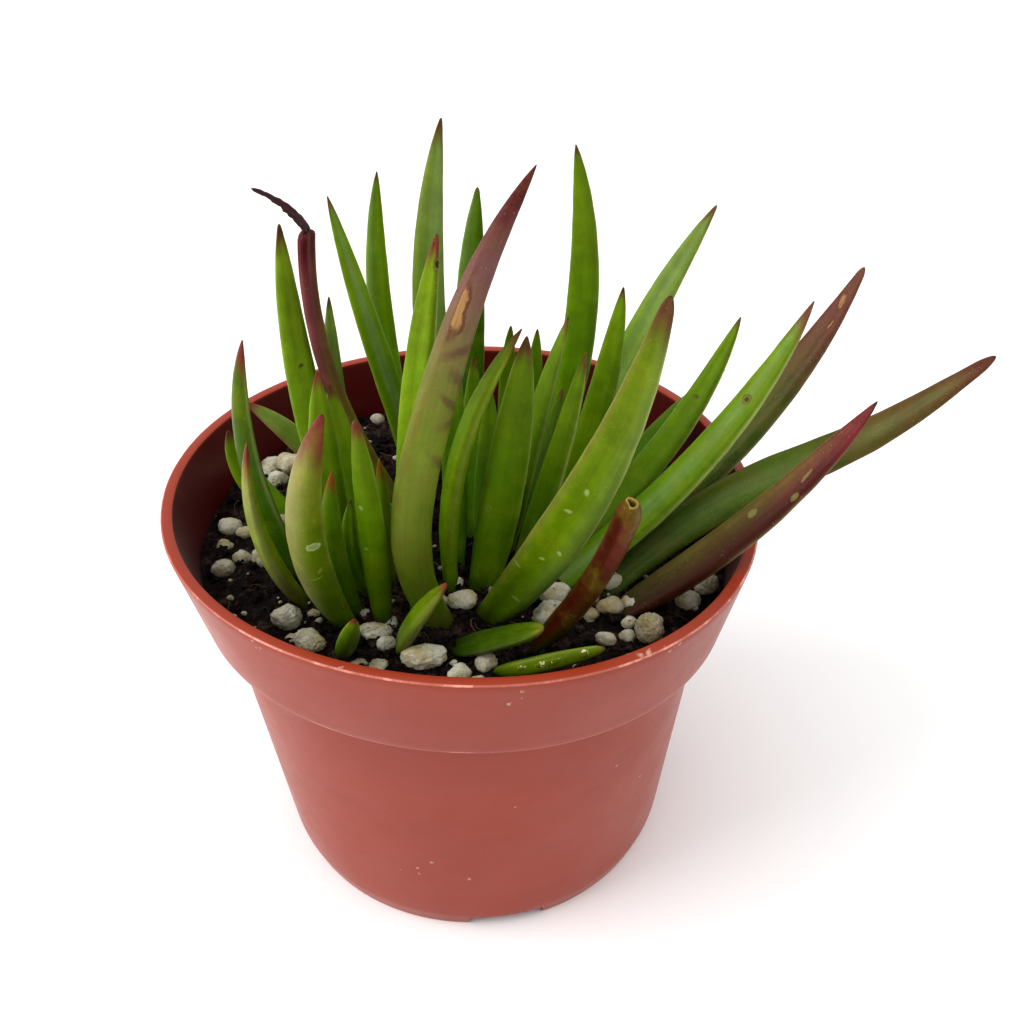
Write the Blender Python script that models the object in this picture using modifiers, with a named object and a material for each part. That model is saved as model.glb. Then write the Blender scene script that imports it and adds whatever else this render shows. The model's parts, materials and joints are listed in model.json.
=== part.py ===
"""A potted crassula: a clump of long fleshy leaves in a round plastic nursery pot.

Metres throughout.  +Z is up, the Z axis is the pot's axis and the pot's foot
stands on Z = 0.  Azimuths are degrees counter-clockwise from +X, seen from above.
"""
import math

import bmesh
import bpy
from mathutils import Vector, noise

MM = 0.001

# ---- Pot -------------------------------------------------------------------
POT_HEIGHT = 87 * MM
RIM_RADIUS = 60 * MM
LIP_WIDTH = 2.4 * MM
EDGE = 0.4 * MM                    # small bevel on the rim, the collar and the foot
COLLAR_BOTTOM = 66 * MM            # height of the step under the collar
COLLAR_RADIUS = 55.2 * MM          # outer radius of the collar at that step
BODY_RADIUS = 51.3 * MM            # outer radius of the body just under the step
WALL = 1.6 * MM
FOOT_BAND = 4.5 * MM               # the lowest band of the wall turns in more
FOOT_BAND_RADIUS = 44.1 * MM
FOOT_RADIUS = 42.8 * MM
FOOT_RING = 1.8 * MM               # width of the ring the pot stands on
FLOOR_BOTTOM = 3.2 * MM
FLOOR_TOP = 4.8 * MM
PAD_RADIUS = 9 * MM                # boss under the floor, level with the foot
POT_STEPS = 72

NOTCH_COUNT = 4
NOTCH_AZIMUTH = -82.5
NOTCH_WIDTH = 16 * MM
NOTCH_HEIGHT = 3 * MM
DRAIN_COUNT = 8
DRAIN_RADIUS = 3.5 * MM
DRAIN_CIRCLE = 26 * MM

# The thin rim is slightly out of round.
# number of bulges: (height of a bulge as a share of the radius, azimuth of one of them)
OUT_OF_ROUND = {2: (0.016, -38), 3: (0.015, 60), 4: (0.007, 45)}
RIM_SHIFT = -1 * MM                # the rim's centre sits a little to -X

# ---- Soil ------------------------------------------------------------------
GAP = 0.3 * MM                     # clearance between neighbouring solids
SOIL_TOP = 74 * MM
SOIL_FLAT_RADIUS = 46 * MM
SOIL_EDGE_DROP = 1.5 * MM
SEAT = SOIL_TOP + GAP              # height at which leaves and grains stand

# ---- Stems -----------------------------------------------------------------
STEM_DEPTH = 13 * MM
STEM_HEIGHT = 4 * MM
STEM_STEPS = 16
# name: (x, y, radius) in mm
STEMS = {
    "left_stem": (-28, -17, 2.2),
    "left_back_stem": (-22, 6, 2.6),
    "back_stem": (-5, 30, 2.6),
    "centre_stem": (-10, -8, 2.6),
    "right_stem": (14, 5, 2.4),
    "front_stem": (-10, -25, 2.0),
    "right_front_stem": (20, -25, 2.0),
}

# ---- Grains of perlite -----------------------------------------------------
# name: (x, y, length, width, height, azimuth, seed), lengths in mm
GRAINS = {
    "grain_front": (-9, -41, 8.5, 5, 5, 15, 3),
    "grain_left_front": (-30, -35, 6.5, 5, 4.5, -25, 8),
    "grain_left": (-35, -29, 5.5, 5, 5.5, 10, 15),
    "grain_right": (33, -36, 5.5, 5, 6, 40, 21),
    "grain_pale": (-18, -33, 6.5, 3.5, 4, 0, 34),
    "grain_far_right": (46, -22, 5, 4.5, 4.5, 60, 47),
}

# ---- Leaves ----------------------------------------------------------------
# A leaf is a loft along one smooth curve from a root on the soil to a tip, and "bow"
# is how far the middle of the curve lies off the straight line between them.  The
# section is a flat oval: nearly flat on the face that looks at azimuth "face", with
# a low keel on the other side.
LEAF_SECTION = [
    (0.50, 0.00), (0.36, 0.27), (0.00, 0.22), (-0.36, 0.27),
    (-0.50, 0.00), (-0.36, -0.42), (0.00, -0.68), (0.36, -0.42),
]
LEAF_STATIONS = [0.0, 0.05, 0.12, 0.22, 0.34, 0.46, 0.58, 0.69, 0.79, 0.87, 0.93, 0.97]
ROOT_SHARE = 0.74                  # width at the soil as a share of the full width
ROOT_SPAN = 0.28                   # the leaf reaches its full width here
LEVEL_SPAN = 0.16                  # the sections tilt from level to square by here

# name: (material, width, thickness share, face azimuth, root (x, y), tip (x, y, z),
#        bow (x, y, z)), lengths in mm and the tip's height above the foot
LEAVES = {
    "left_leaf_1": ("pale", 7.2, 0.55, 80, (-24, -28), (-22, -43, 130), (-5, -1, 0)),
    "left_leaf_2": ("green", 5.5, 0.55, 0, (-32, -22), (-38, -25, 114), (-3, -1, -1)),
    "left_leaf_3": ("green", 6.8, 0.5, 40, (-32, -15), (-40, -6, 124), (-5, 1, -1)),
    "left_leaf_4": ("dark", 6.0, 0.5, 300, (-36, 4), (-49, 10, 95), (-3, 1, -1)),
    "left_leaf_5": ("dark", 5.2, 0.5, 300, (-27, 14), (-46, 16, 98), (2, -1, 2)),
    "left_leaf_6": ("green", 7.0, 0.5, 310, (-24, -8), (-32, 1, 143), (-3, 5, -1)),
    "left_leaf_7": ("green", 6.5, 0.5, 280, (-24, -22), (-25, -22, 126), (-1, 1, 0)),
    "left_leaf_8": ("dark", 6.0, 0.5, 300, (-20, -9), (-26, 0, 111), (0, 0, 0)),
    "left_leaf_9": ("pale", 4.4, 0.55, 90, (-22, -26), (-23, -32, 112), (-2, 0, 0)),
    "left_leaf_10": ("green", 3.5, 0.55, 270, (-19, -21), (-21, -26, 102), (-2, -1, 0)),
    "withered_leaf": ("withered", 4.2, 0.6, 330, (-12, 5), (-27, 0, 142), (-6, 1, 0)),
    "back_leaf_1": ("dark", 4.6, 0.5, 300, (-26, 21), (-28, 30, 115), (-1, 0, 0)),
    "back_leaf_2": ("dark", 5.5, 0.5, 300, (-10, 20), (-26, 27, 138), (0, -2, 0)),
    "back_leaf_3": ("dark", 5.8, 0.5, 280, (-13, 28), (-17, 43, 137), (-3, 3, -1)),
    "back_leaf_4": ("green", 7.2, 0.45, 270, (-3, 20), (-3, 30, 152), (-4, 1, 0)),
    "back_leaf_5": ("green", 7.0, 0.45, 270, (1, 36), (4, 46, 132), (-1, 0, 0)),
    "back_leaf_6": ("green", 7.2, 0.5, 270, (14, 12), (23, 28, 147), (6, 4, -2)),
    "back_leaf_7": ("dark", 4.0, 0.5, 270, (9, 36), (11, 46, 99), (0, 3, -1)),
    "back_leaf_8": ("dark", 4.0, 0.5, 270, (15, 36), (17, 44, 99), (0, 0, 0)),
    "centre_leaf_1": ("green", 5.2, 0.55, 80, (-17, -28), (-18, -35, 124), (0, 2, 0)),
    "centre_leaf_2": ("green", 3.5, 0.55, 90, (-16, -18), (-16, -19, 106), (0, 0, 0)),
    "bronze_leaf": ("bronze", 8.6, 0.8, 150, (-6, -29), (13, -8, 156), (-10, -6, 3)),
    "centre_leaf_3": ("green", 6.8, 0.5, 250, (-11, -16), (-4, -5, 143), (-2, -1, 0)),
    "centre_leaf_4": ("green", 5.2, 0.7, 200, (-4, -20), (10, -20, 132), (-5, 3, 0)),
    "centre_leaf_5": ("dark", 5.0, 0.5, 270, (-3, -13), (-2, 6, 118), (0, 2, -1)),
    "centre_leaf_6": ("dark", 5.0, 0.5, 270, (0, -5), (2, 13, 109), (0, 4, -2)),
    "centre_leaf_7": ("green", 8.0, 0.5, 255, (2, -20), (11, -17, 129), (1, 2, 0)),
    "centre_leaf_8": ("green", 5.5, 0.5, 270, (3, -12), (5, 2, 108), (0, 0, 0)),
    "centre_leaf_9": ("green", 6.0, 0.55, 215, (7, -8), (20, 2, 123), (-1, -2, 1)),
    "centre_leaf_10": ("dark", 4.5, 0.5, 215, (10, -4), (20, 10, 103), (0, 3, -2)),
    "centre_leaf_11": ("green", 6.0, 0.5, 215, (9, -16), (22, -12, 123), (1, 1, 0)),
    "big_leaf": ("green", 9.2, 0.5, 236, (3, -28), (30, -46, 150), (4, 0, -2)),
    "right_leaf_1": ("green", 6.4, 0.5, 240, (17, -2), (31, 8, 126), (2, 1, -1)),
    "right_leaf_2": ("green", 6.6, 0.5, 240, (22, 11), (52, 28, 134), (-3, -3, 2)),
    "right_leaf_3": ("green", 6.6, 0.55, 225, (18, -9), (56, 14, 116), (4, 3, -4)),
    "right_leaf_4": ("dark", 5.0, 0.5, 220, (27, 8), (58, 30, 95), (-1, 1, 0)),
    "right_leaf_5": ("green", 7.8, 0.5, 205, (15, -20), (64, -6, 129), (4, -1, -2)),
    "right_leaf_6": ("bronze", 9.0, 0.55, 212, (20, -15), (78, 10, 128), (5, 2, -5)),
    "right_leaf_7": ("green", 8.2, 0.5, 205, (26, -21), (101, -5, 116), (-1, 1, 1)),
    "red_leaf": ("red", 7.0, 0.55, 205, (27, -28), (71, -27, 120), (2, -1, -2)),
    "cut_leaf": ("red", 5.0, 0.8, 200, (11, -37), (26, -47, 114), (2, 0, -1)),
    "front_leaf_1": ("pale", 5.6, 0.6, 150, (-4, -36), (12, -50, 91), (0, 0, 0)),
    "front_leaf_2": ("green", 4.6, 0.6, 120, (4, -42), (23, -49, 85), (-2, -2, 1)),
    "front_leaf_3": ("pale", 5.0, 0.6, 180, (-14, -36), (-4, -46, 98), (-1, 0, 0)),
    "front_leaf_4": ("green", 4.0, 0.6, 100, (-24, -37), (-20, -46, 91), (0, 0, 0)),
}
# Two leaves sway: this way in their lower half and back in their upper half, in mm, and
# the sway dies away towards the tip, the faster the larger the second value.
SPRINGS = {"right_leaf_7": ((0, 0, 3), 0), "bronze_leaf": ((-4, 0, 0), 2)}
NO_SPRING = ((0, 0, 0), 0)
# Two leaves end in a flat face instead of a point.
BLUNT_LEAVES = ("cut_leaf", "withered_leaf")
# The withered leaf's dried tip: a thin thread that bends over as it goes
THREAD_LENGTH = 12 * MM
THREAD_PARTS = 5
THREAD_AZIMUTH = 193
THREAD_RISE = (60, 30)             # its slope at the leaf and at its end, in degrees
THREAD_WIDTH = (2 * MM, 0.6 * MM)

COLOURS = {
    "pot": ((0.36, 0.09, 0.055), 0.42),
    "soil": ((0.028, 0.017, 0.012), 0.95),
    "stem": ((0.10, 0.075, 0.035), 0.8),
    "perlite": ((0.72, 0.68, 0.58), 0.9),
    "green": ((0.10, 0.20, 0.012), 0.4),
    "dark": ((0.045, 0.12, 0.012), 0.42),
    "pale": ((0.26, 0.31, 0.04), 0.42),
    "bronze": ((0.15, 0.10, 0.05), 0.42),
    "red": ((0.13, 0.03, 0.03), 0.42),
    "withered": ((0.12, 0.055, 0.06), 0.6),
}


def clear_scene():
    for obj in list(bpy.data.objects):
        bpy.data.objects.remove(obj, do_unlink=True)
    for coll in list(bpy.data.collections):
        bpy.data.collections.remove(coll)


def make_collection(name):
    coll = bpy.data.collections.new(name)
    bpy.context.scene.collection.children.link(coll)
    return coll


def make_material(name):
    colour, roughness = COLOURS[name]
    mat = bpy.data.materials.new(name)
    mat.use_nodes = True
    shader = mat.node_tree.nodes["Principled BSDF"]
    shader.inputs["Base Color"].default_value = (*colour, 1.0)
    shader.inputs["Roughness"].default_value = roughness
    mat.diffuse_color = (*colour, 1.0)
    return mat


def new_object(name, mesh, coll, mat=None, smooth=False):
    obj = bpy.data.objects.new(name, mesh)
    coll.objects.link(obj)
    if mat:
        mesh.materials.append(mat)
    if smooth:
        mesh.polygons.foreach_set("use_smooth", [True] * len(mesh.polygons))
    return obj


def smooth_step(x):
    x = min(max(x, 0.0), 1.0)
    return x * x * (3 - 2 * x)


def revolve(name, profile, steps, coll):
    """Turn a profile of (radius, height) points about Z and return a plain mesh."""
    line = bpy.data.meshes.new(name + "_profile")
    verts = [(r, 0.0, z) for r, z in profile]
    count = len(verts)
    edges = [(i, i + 1) for i in range(count - 1)]
    if profile[0][0] > 0:
        edges.append((count - 1, 0))
    line.from_pydata(verts, edges, [])
    obj = bpy.data.objects.new(name + "_profile", line)
    coll.objects.link(obj)
    screw = obj.modifiers.new("Turn", "SCREW")
    screw.axis = "Z"
    screw.steps = steps
    screw.render_steps = steps
    screw.use_merge_vertices = True
    screw.merge_threshold = 0.00001
    screw.use_smooth_shade = True
    bpy.context.view_layer.update()
    graph = bpy.context.evaluated_depsgraph_get()
    mesh = bpy.data.meshes.new_from_object(obj.evaluated_get(graph))
    mesh.name = name
    bpy.data.objects.remove(obj, do_unlink=True)
    close_and_face_out(mesh)
    return mesh


def close_and_face_out(mesh):
    work = bmesh.new()
    work.from_mesh(mesh)
    bmesh.ops.remove_doubles(work, verts=work.verts, dist=0.000002)
    bmesh.ops.recalc_face_normals(work, faces=work.faces)
    work.to_mesh(mesh)
    work.free()


def make_out_of_round(mesh):
    """Press the pot's upper part a little out of round, the more the higher up."""
    for vert in mesh.vertices:
        x, y, z = vert.co
        share = z / POT_HEIGHT
        azimuth = math.atan2(y, x)
        swell = 0.0
        for count, (height, bulge) in OUT_OF_ROUND.items():
            swell += height * math.cos(count * (azimuth - math.radians(bulge)))
        vert.co.x = x * (1 + share * swell) + share * RIM_SHIFT
        vert.co.y = y * (1 + share * swell)


def cylinders(name, places, z_low, z_high, coll, steps=32):
    """One cutter made of upright cylinders, each given as (x, y, radius)."""
    work = bmesh.new()
    for x, y, radius in places:
        made = bmesh.ops.create_cone(
            work, cap_ends=True, segments=steps, radius1=radius, radius2=radius,
            depth=z_high - z_low)
        shift = Vector((x, y, (z_low + z_high) / 2))
        bmesh.ops.translate(work, verts=made["verts"], vec=shift)
    mesh = bpy.data.meshes.new(name)
    work.to_mesh(mesh)
    work.free()
    return cutter_object(name, mesh, coll)


def cutter_object(name, mesh, coll):
    obj = bpy.data.objects.new(name, mesh)
    coll.objects.link(obj)
    obj.display_type = "WIRE"
    obj.hide_render = True
    return obj


def cut(obj, cutter):
    mod = obj.modifiers.new("Cut " + cutter.name, "BOOLEAN")
    mod.operation = "DIFFERENCE"
    mod.solver = "EXACT"
    mod.object = cutter


def notch_cutter(coll):
    """Blocks that cut the notches in the foot ring."""
    work = bmesh.new()
    reach = 8 * MM
    low = -1 * MM
    for index in range(NOTCH_COUNT):
        made = bmesh.ops.create_cube(work, size=1.0)
        verts = made["verts"]
        height = NOTCH_HEIGHT - low
        bmesh.ops.scale(work, verts=verts, vec=Vector((reach, NOTCH_WIDTH, height)))
        middle = Vector((FOOT_RADIUS - FOOT_RING / 2, 0, low + height / 2))
        bmesh.ops.translate(work, verts=verts, vec=middle)
        azimuth = math.radians(NOTCH_AZIMUTH + index * 360 / NOTCH_COUNT)
        for vert in verts:
            x, y, z = vert.co
            vert.co.x = x * math.cos(azimuth) - y * math.sin(azimuth)
            vert.co.y = x * math.sin(azimuth) + y * math.cos(azimuth)
    mesh = bpy.data.meshes.new("notch_cutter")
    work.to_mesh(mesh)
    work.free()
    return cutter_object("notch_cutter", mesh, coll)


def build_pot(coll, cutters, mat):
    inner_ledge = COLLAR_BOTTOM + WALL
    lip_inner = RIM_RADIUS - LIP_WIDTH
    profile = [
        (RIM_RADIUS - EDGE, POT_HEIGHT),
        (RIM_RADIUS, POT_HEIGHT - EDGE),
        (COLLAR_RADIUS, COLLAR_BOTTOM + EDGE),
        (COLLAR_RADIUS - EDGE, COLLAR_BOTTOM),
        (BODY_RADIUS, COLLAR_BOTTOM),
        (FOOT_BAND_RADIUS, FOOT_BAND),
        (FOOT_RADIUS, EDGE),
        (FOOT_RADIUS - EDGE, 0.0),
        (FOOT_RADIUS - FOOT_RING, 0.0),
        (FOOT_RADIUS - FOOT_RING, FLOOR_BOTTOM),
        (PAD_RADIUS, FLOOR_BOTTOM),
        (PAD_RADIUS, 0.0),
        (0.0, 0.0),
    ]
    inside = [
        (0.0, FLOOR_TOP),
        (FOOT_BAND_RADIUS - WALL, FLOOR_TOP),
        (BODY_RADIUS - WALL, inner_ledge),
        (COLLAR_RADIUS - WALL, inner_ledge),
        (lip_inner, POT_HEIGHT),
    ]
    mesh = revolve("pot", profile + inside, POT_STEPS, cutters)
    make_out_of_round(mesh)
    pot = new_object("pot", mesh, coll, mat)
    cut(pot, notch_cutter(cutters))
    places = []
    for index in range(DRAIN_COUNT):
        azimuth = 2 * math.pi * index / DRAIN_COUNT
        places.append((DRAIN_CIRCLE * math.cos(azimuth), DRAIN_CIRCLE * math.sin(azimuth),
                       DRAIN_RADIUS))
    cut(pot, cylinders("drain_cutter", places, 1 * MM, FLOOR_TOP + 2 * MM, cutters))
    return pot


def build_soil(coll, cutters, mat):
    inner_ledge = COLLAR_BOTTOM + WALL
    lip_inner = RIM_RADIUS - LIP_WIDTH
    edge_height = SOIL_TOP - SOIL_EDGE_DROP
    rise = (edge_height - inner_ledge) / (POT_HEIGHT - inner_ledge)
    wall_radius = COLLAR_RADIUS - WALL
    edge_radius = wall_radius + rise * (lip_inner - wall_radius) - GAP
    profile = [
        (0.0, SOIL_TOP),
        (SOIL_FLAT_RADIUS, SOIL_TOP),
        (0.5 * (SOIL_FLAT_RADIUS + edge_radius), SOIL_TOP - 0.3 * SOIL_EDGE_DROP),
        (edge_radius, edge_height),
        (wall_radius - GAP, inner_ledge + GAP),
        (BODY_RADIUS - WALL - GAP, inner_ledge + GAP),
        (FOOT_BAND_RADIUS - WALL - GAP, FLOOR_TOP + GAP),
        (0.0, FLOOR_TOP + GAP),
    ]
    mesh = revolve("soil", profile, POT_STEPS, cutters)
    make_out_of_round(mesh)
    soil = new_object("soil", mesh, coll, mat)
    places = []
    for x, y, radius in STEMS.values():
        places.append((x * MM, y * MM, radius * MM + GAP))
    low = SOIL_TOP - STEM_DEPTH - GAP
    cut(soil, cylinders("socket_cutter", places, low, SOIL_TOP + 2 * MM, cutters, STEM_STEPS))
    return soil


def build_stem(name, place, coll, cutters, mat):
    x, y, radius = (value * MM for value in place)
    top = SOIL_TOP + STEM_HEIGHT
    profile = [
        (0.0, top),
        (0.55 * radius, top - 0.2 * MM),
        (0.85 * radius, top - 1.2 * MM),
        (0.92 * radius, SOIL_TOP),
        (0.75 * radius, SOIL_TOP - STEM_DEPTH),
        (0.0, SOIL_TOP - STEM_DEPTH),
    ]
    mesh = revolve(name, profile, STEM_STEPS, cutters)
    for vert in mesh.vertices:
        vert.co.x += x
        vert.co.y += y
    return new_object(name, mesh, coll, mat)


def build_grain(name, place, coll, mat):
    """A lumpy grain with a flat underside."""
    x, y, length, width, height, azimuth, seed = place
    work = bmesh.new()
    bmesh.ops.create_icosphere(work, subdivisions=3, radius=1.0)
    turn = math.radians(azimuth)
    sink = 0.25
    for vert in work.verts:
        way = vert.co.normalized()
        lump = noise.noise(way * 1.3 + Vector((seed, 0, 0)))
        fine = noise.noise(way * 3.5 + Vector((0, seed, 0)))
        size = 1 + 0.25 * lump + 0.08 * fine
        along = way.x * size * length / 2
        across = way.y * size * width / 2
        up = max((way.z * size + 1) / 2, sink) - sink
        vert.co.x = (x + along * math.cos(turn) - across * math.sin(turn)) * MM
        vert.co.y = (y + along * math.sin(turn) + across * math.cos(turn)) * MM
        vert.co.z = SEAT + up * height / (1 - sink) * MM
    bmesh.ops.recalc_face_normals(work, faces=work.faces)
    mesh = bpy.data.meshes.new(name)
    work.to_mesh(mesh)
    work.free()
    return new_object(name, mesh, coll, mat, smooth=True)


def leaf_curve(root, tip, bow, spring, fade):
    """Return a function of 0..1 that follows the leaf's curve at an even pace."""

    def raw(share):
        sway = spring * (math.sin(2 * math.pi * share) * (1 - share) ** fade)
        return root.lerp(tip, share) + bow * (4 * share * (1 - share)) + sway

    pieces = 200
    travelled = [0.0]
    last = raw(0.0)
    for step in range(1, pieces + 1):
        here = raw(step / pieces)
        travelled.append(travelled[-1] + (here - last).length)
        last = here

    def even(share):
        goal = min(max(share, 0.0), 1.0) * travelled[-1]
        step = 1
        while step < pieces and travelled[step] < goal:
            step += 1
        span = travelled[step] - travelled[step - 1]
        part = (goal - travelled[step - 1]) / span
        return raw((step - 1 + part) / pieces)

    return even


def leaf_width(share, blunt):
    """Width along the leaf as a share of its full width."""
    width = ROOT_SHARE + (1 - ROOT_SHARE) * smooth_step(share / ROOT_SPAN)
    if blunt:
        return width * (1 - 0.45 * smooth_step((share - 0.95) / 0.05))
    beyond = max(0.0, (share - ROOT_SPAN) / (1 - ROOT_SPAN))
    return width * (1 - beyond ** 2.6) ** 0.75


def leaf_ring(centre, way, face, width, depth):
    """One section of a leaf, square to "way", its flat side towards "face"."""
    side = way.cross(face).normalized()
    up = side.cross(way).normalized()
    if up.dot(face) < 0:
        up = -up
        side = -side
    return [centre + side * (x * width) + up * (y * depth) for x, y in LEAF_SECTION]


def build_leaf(name, plan, coll, mats):
    kind, width, thickness, azimuth, root, tip, bow = plan
    root = Vector((root[0] * MM, root[1] * MM, SEAT))
    spring, fade = SPRINGS.get(name, NO_SPRING)
    follow = leaf_curve(root, Vector(tip) * MM, Vector(bow) * MM, Vector(spring) * MM, fade)
    blunt = name in BLUNT_LEAVES
    face = Vector((math.cos(math.radians(azimuth)), math.sin(math.radians(azimuth)), 0))
    width = width * MM
    stations = LEAF_STATIONS + ([1.0] if blunt else [])
    rings = []
    for share in stations:
        way = (follow(share + 0.01) - follow(share - 0.01)).normalized()
        lean = smooth_step(share / LEVEL_SPAN)
        way = (Vector((0, 0, 1)) * (1 - lean) + way * lean).normalized()
        size = width * leaf_width(share, blunt)
        rings.append(leaf_ring(follow(share), way, face, size, size * thickness))
    end = follow(1.0)
    if name == "withered_leaf":
        end = add_thread(rings, end, face)
    mesh = loft(name, rings, root, end)
    return new_object(name, mesh, coll, mats[kind], smooth=True)


def add_thread(rings, start, face):
    """Carry the withered leaf on into a thin dried thread and return its end."""
    turn = math.radians(THREAD_AZIMUTH)
    step = THREAD_LENGTH / THREAD_PARTS
    place = start
    for index in range(THREAD_PARTS):
        share = index / (THREAD_PARTS - 1)
        slope = math.radians(THREAD_RISE[0] + (THREAD_RISE[1] - THREAD_RISE[0]) * share)
        way = Vector((math.cos(turn) * math.cos(slope), math.sin(turn) * math.cos(slope), math.sin(slope)))
        place = place + way * step
        size = THREAD_WIDTH[0] + (THREAD_WIDTH[1] - THREAD_WIDTH[0]) * share
        rings.append(leaf_ring(place, way, face, size, 0.7 * size))
    return place + way * THREAD_WIDTH[1]


def loft(name, rings, first, last):
    """Skin the rings and close both ends onto a point."""
    size = len(LEAF_SECTION)
    work = bmesh.new()
    rows = []
    for ring in rings:
        rows.append([work.verts.new(point) for point in ring])
    start = work.verts.new(first)
    end = work.verts.new(last)
    for low, high in zip(rows, rows[1:]):
        for i in range(size):
            j = (i + 1) % size
            work.faces.new((low[i], low[j], high[j]))
            work.faces.new((low[i], high[j], high[i]))
    for i in range(size):
        j = (i + 1) % size
        work.faces.new((start, rows[0][j], rows[0][i]))
        work.faces.new((end, rows[-1][i], rows[-1][j]))
    bmesh.ops.recalc_face_normals(work, faces=work.faces)
    mesh = bpy.data.meshes.new(name)
    work.to_mesh(mesh)
    work.free()
    return mesh


def main():
    clear_scene()
    coll = make_collection("potted_crassula")
    cutters = make_collection("cutters")
    mats = {name: make_material(name) for name in COLOURS}
    build_pot(coll, cutters, mats["pot"])
    build_soil(coll, cutters, mats["soil"])
    for name, place in STEMS.items():
        build_stem(name, place, coll, cutters, mats["stem"])
    for name, place in GRAINS.items():
        build_grain(name, place, coll, mats["perlite"])
    for name, plan in LEAVES.items():
        build_leaf(name, plan, coll, mats)


main()
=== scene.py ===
"""Visual model of a potted crassula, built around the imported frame.

The scene is in metres, +Z up; sizes named below are in mm.  Each leaf is lofted
finely through the sections of its own frame node.  The pot is turned again with its
edges rounded, and the soil gets crumbs, fibres and pale grains.
"""

import json
import math
import random

import bmesh
import bpy
import numpy as np
from mathutils import Matrix, Vector, noise

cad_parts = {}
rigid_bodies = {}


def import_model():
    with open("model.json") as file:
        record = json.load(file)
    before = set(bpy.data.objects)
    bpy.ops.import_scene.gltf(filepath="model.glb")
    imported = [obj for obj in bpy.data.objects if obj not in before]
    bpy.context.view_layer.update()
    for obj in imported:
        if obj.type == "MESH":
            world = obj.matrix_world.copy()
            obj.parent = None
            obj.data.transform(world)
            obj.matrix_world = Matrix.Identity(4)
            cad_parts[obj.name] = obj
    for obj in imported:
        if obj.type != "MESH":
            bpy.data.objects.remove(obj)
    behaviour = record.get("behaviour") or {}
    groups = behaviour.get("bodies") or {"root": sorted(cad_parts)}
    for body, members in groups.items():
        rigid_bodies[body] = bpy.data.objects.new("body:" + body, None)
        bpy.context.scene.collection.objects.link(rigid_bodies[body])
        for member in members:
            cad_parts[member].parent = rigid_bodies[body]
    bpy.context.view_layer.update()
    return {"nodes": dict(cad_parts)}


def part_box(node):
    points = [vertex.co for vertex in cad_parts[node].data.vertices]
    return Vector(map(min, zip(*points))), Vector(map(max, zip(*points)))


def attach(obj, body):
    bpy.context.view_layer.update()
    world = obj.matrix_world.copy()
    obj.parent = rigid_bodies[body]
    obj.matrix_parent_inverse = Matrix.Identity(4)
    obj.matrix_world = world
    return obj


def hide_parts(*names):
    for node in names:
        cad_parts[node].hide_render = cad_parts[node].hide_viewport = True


MM = 0.001


def srgb(red, green, blue):
    """A colour given as 0..255 screen values, in linear light."""
    return tuple((value / 255) ** 2.2 for value in (red, green, blue))


# ---- Camera ----
CAMERA_PLACE = (0.0, -0.2027, 0.2257)
CAMERA_YAW = 2.55
CAMERA_PITCH = 35.82
CAMERA_ROLL = -0.23
CAMERA_LENS = 42.19

# ---- Pot, in mm, as in the frame ----
POT_HEIGHT = 87.0
RIM_RADIUS = 60.0
LIP_WIDTH = 2.4
COLLAR_BOTTOM = 66.0
COLLAR_RADIUS = 55.2
BODY_RADIUS = 51.3
WALL = 1.6
FOOT_BAND = 4.5
FOOT_BAND_RADIUS = 44.1
FOOT_RADIUS = 42.8
FOOT_RING = 1.8
FLOOR_BOTTOM = 3.2
FLOOR_TOP = 4.8
PAD_RADIUS = 9.0
NOTCH_AZIMUTH = -82.5
# Waves round the rim: number of bulges: (share of the radius, degrees of one bulge)
OUT_OF_ROUND = {2: (0.016, -38), 3: (0.015, 60), 4: (0.007, 45)}
RIM_SHIFT = -1.0           # the rim's middle lies this far along X from the foot's
SOIL_TOP = 74.0
SOIL_RIM = SOIL_TOP - 1.5  # height at which the soil meets the wall
NOTCHES = 4
NOTCH_CIRCLE = 43
NOTCH_SIZE = (8, 16, 4)    # outward, along the foot and up
HOLES = 8
HOLE_CIRCLE = 26
HOLE_RADIUS = 3.5
POT_STEPS = 240            # points round the pot
POT_DARK = srgb(138, 48, 25)
POT_LIGHT = srgb(146, 53, 29)
# Painted shade: the up-facing top of the lip is coloured a deeper red than the wall.
POT_LIP_SHADE = srgb(148, 52, 24)
# Painted shade: the inner wall is coloured darker to stand in for the shade inside the pot.
POT_INSIDE_SHADE = srgb(86, 8, 5)
# Scuffs gather in patches: (azimuth, height, spread, number, size) in degrees and mm
SCUFF_PATCHES = [(-60, 87, 2, 4, 0.8), (-54, 86, 3, 4, 0.5), (-112, 87, 2, 1, 0.8),
                 (-130, 86, 4, 3, 0.6), (-80, 84, 6, 3, 0.6), (-105, 20, 8, 5, 0.6),
                 (-60, 40, 25, 3, 0.5)]

# ---- Leaves ----
SEAT = 74.3                # the leaves' root sections lie level at this height, in mm
BURIED = 2.5               # and each leaf runs on this far below it
ROW_SPACING = 0.9          # between the rows of a leaf, in mm, and of the withered leaf's thread
THREAD_SPACING = 0.35
LEAF_STEPS = 32            # points round a leaf
UNEVEN = 0.05              # of a leaf's skin, in mm
WITHERED_BODY = 12         # the section of the withered leaf where its thread starts
THREAD_SIZE = (1.05, 0.75)  # half width and depth of the thread, in mm
ROSE = srgb(114, 44, 46)
BROWN = srgb(92, 54, 40)
RUST = srgb(122, 66, 28)
OLIVE = srgb(104, 98, 40)
PALE = srgb(178, 184, 120)
RED_EDGE = srgb(122, 62, 44)
CREAM = srgb(150, 138, 96)
PINK = srgb(146, 96, 80)
PURPLE = srgb(104, 58, 50)
WINE = srgb(84, 22, 26)
MAUVE = srgb(150, 84, 92)
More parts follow.
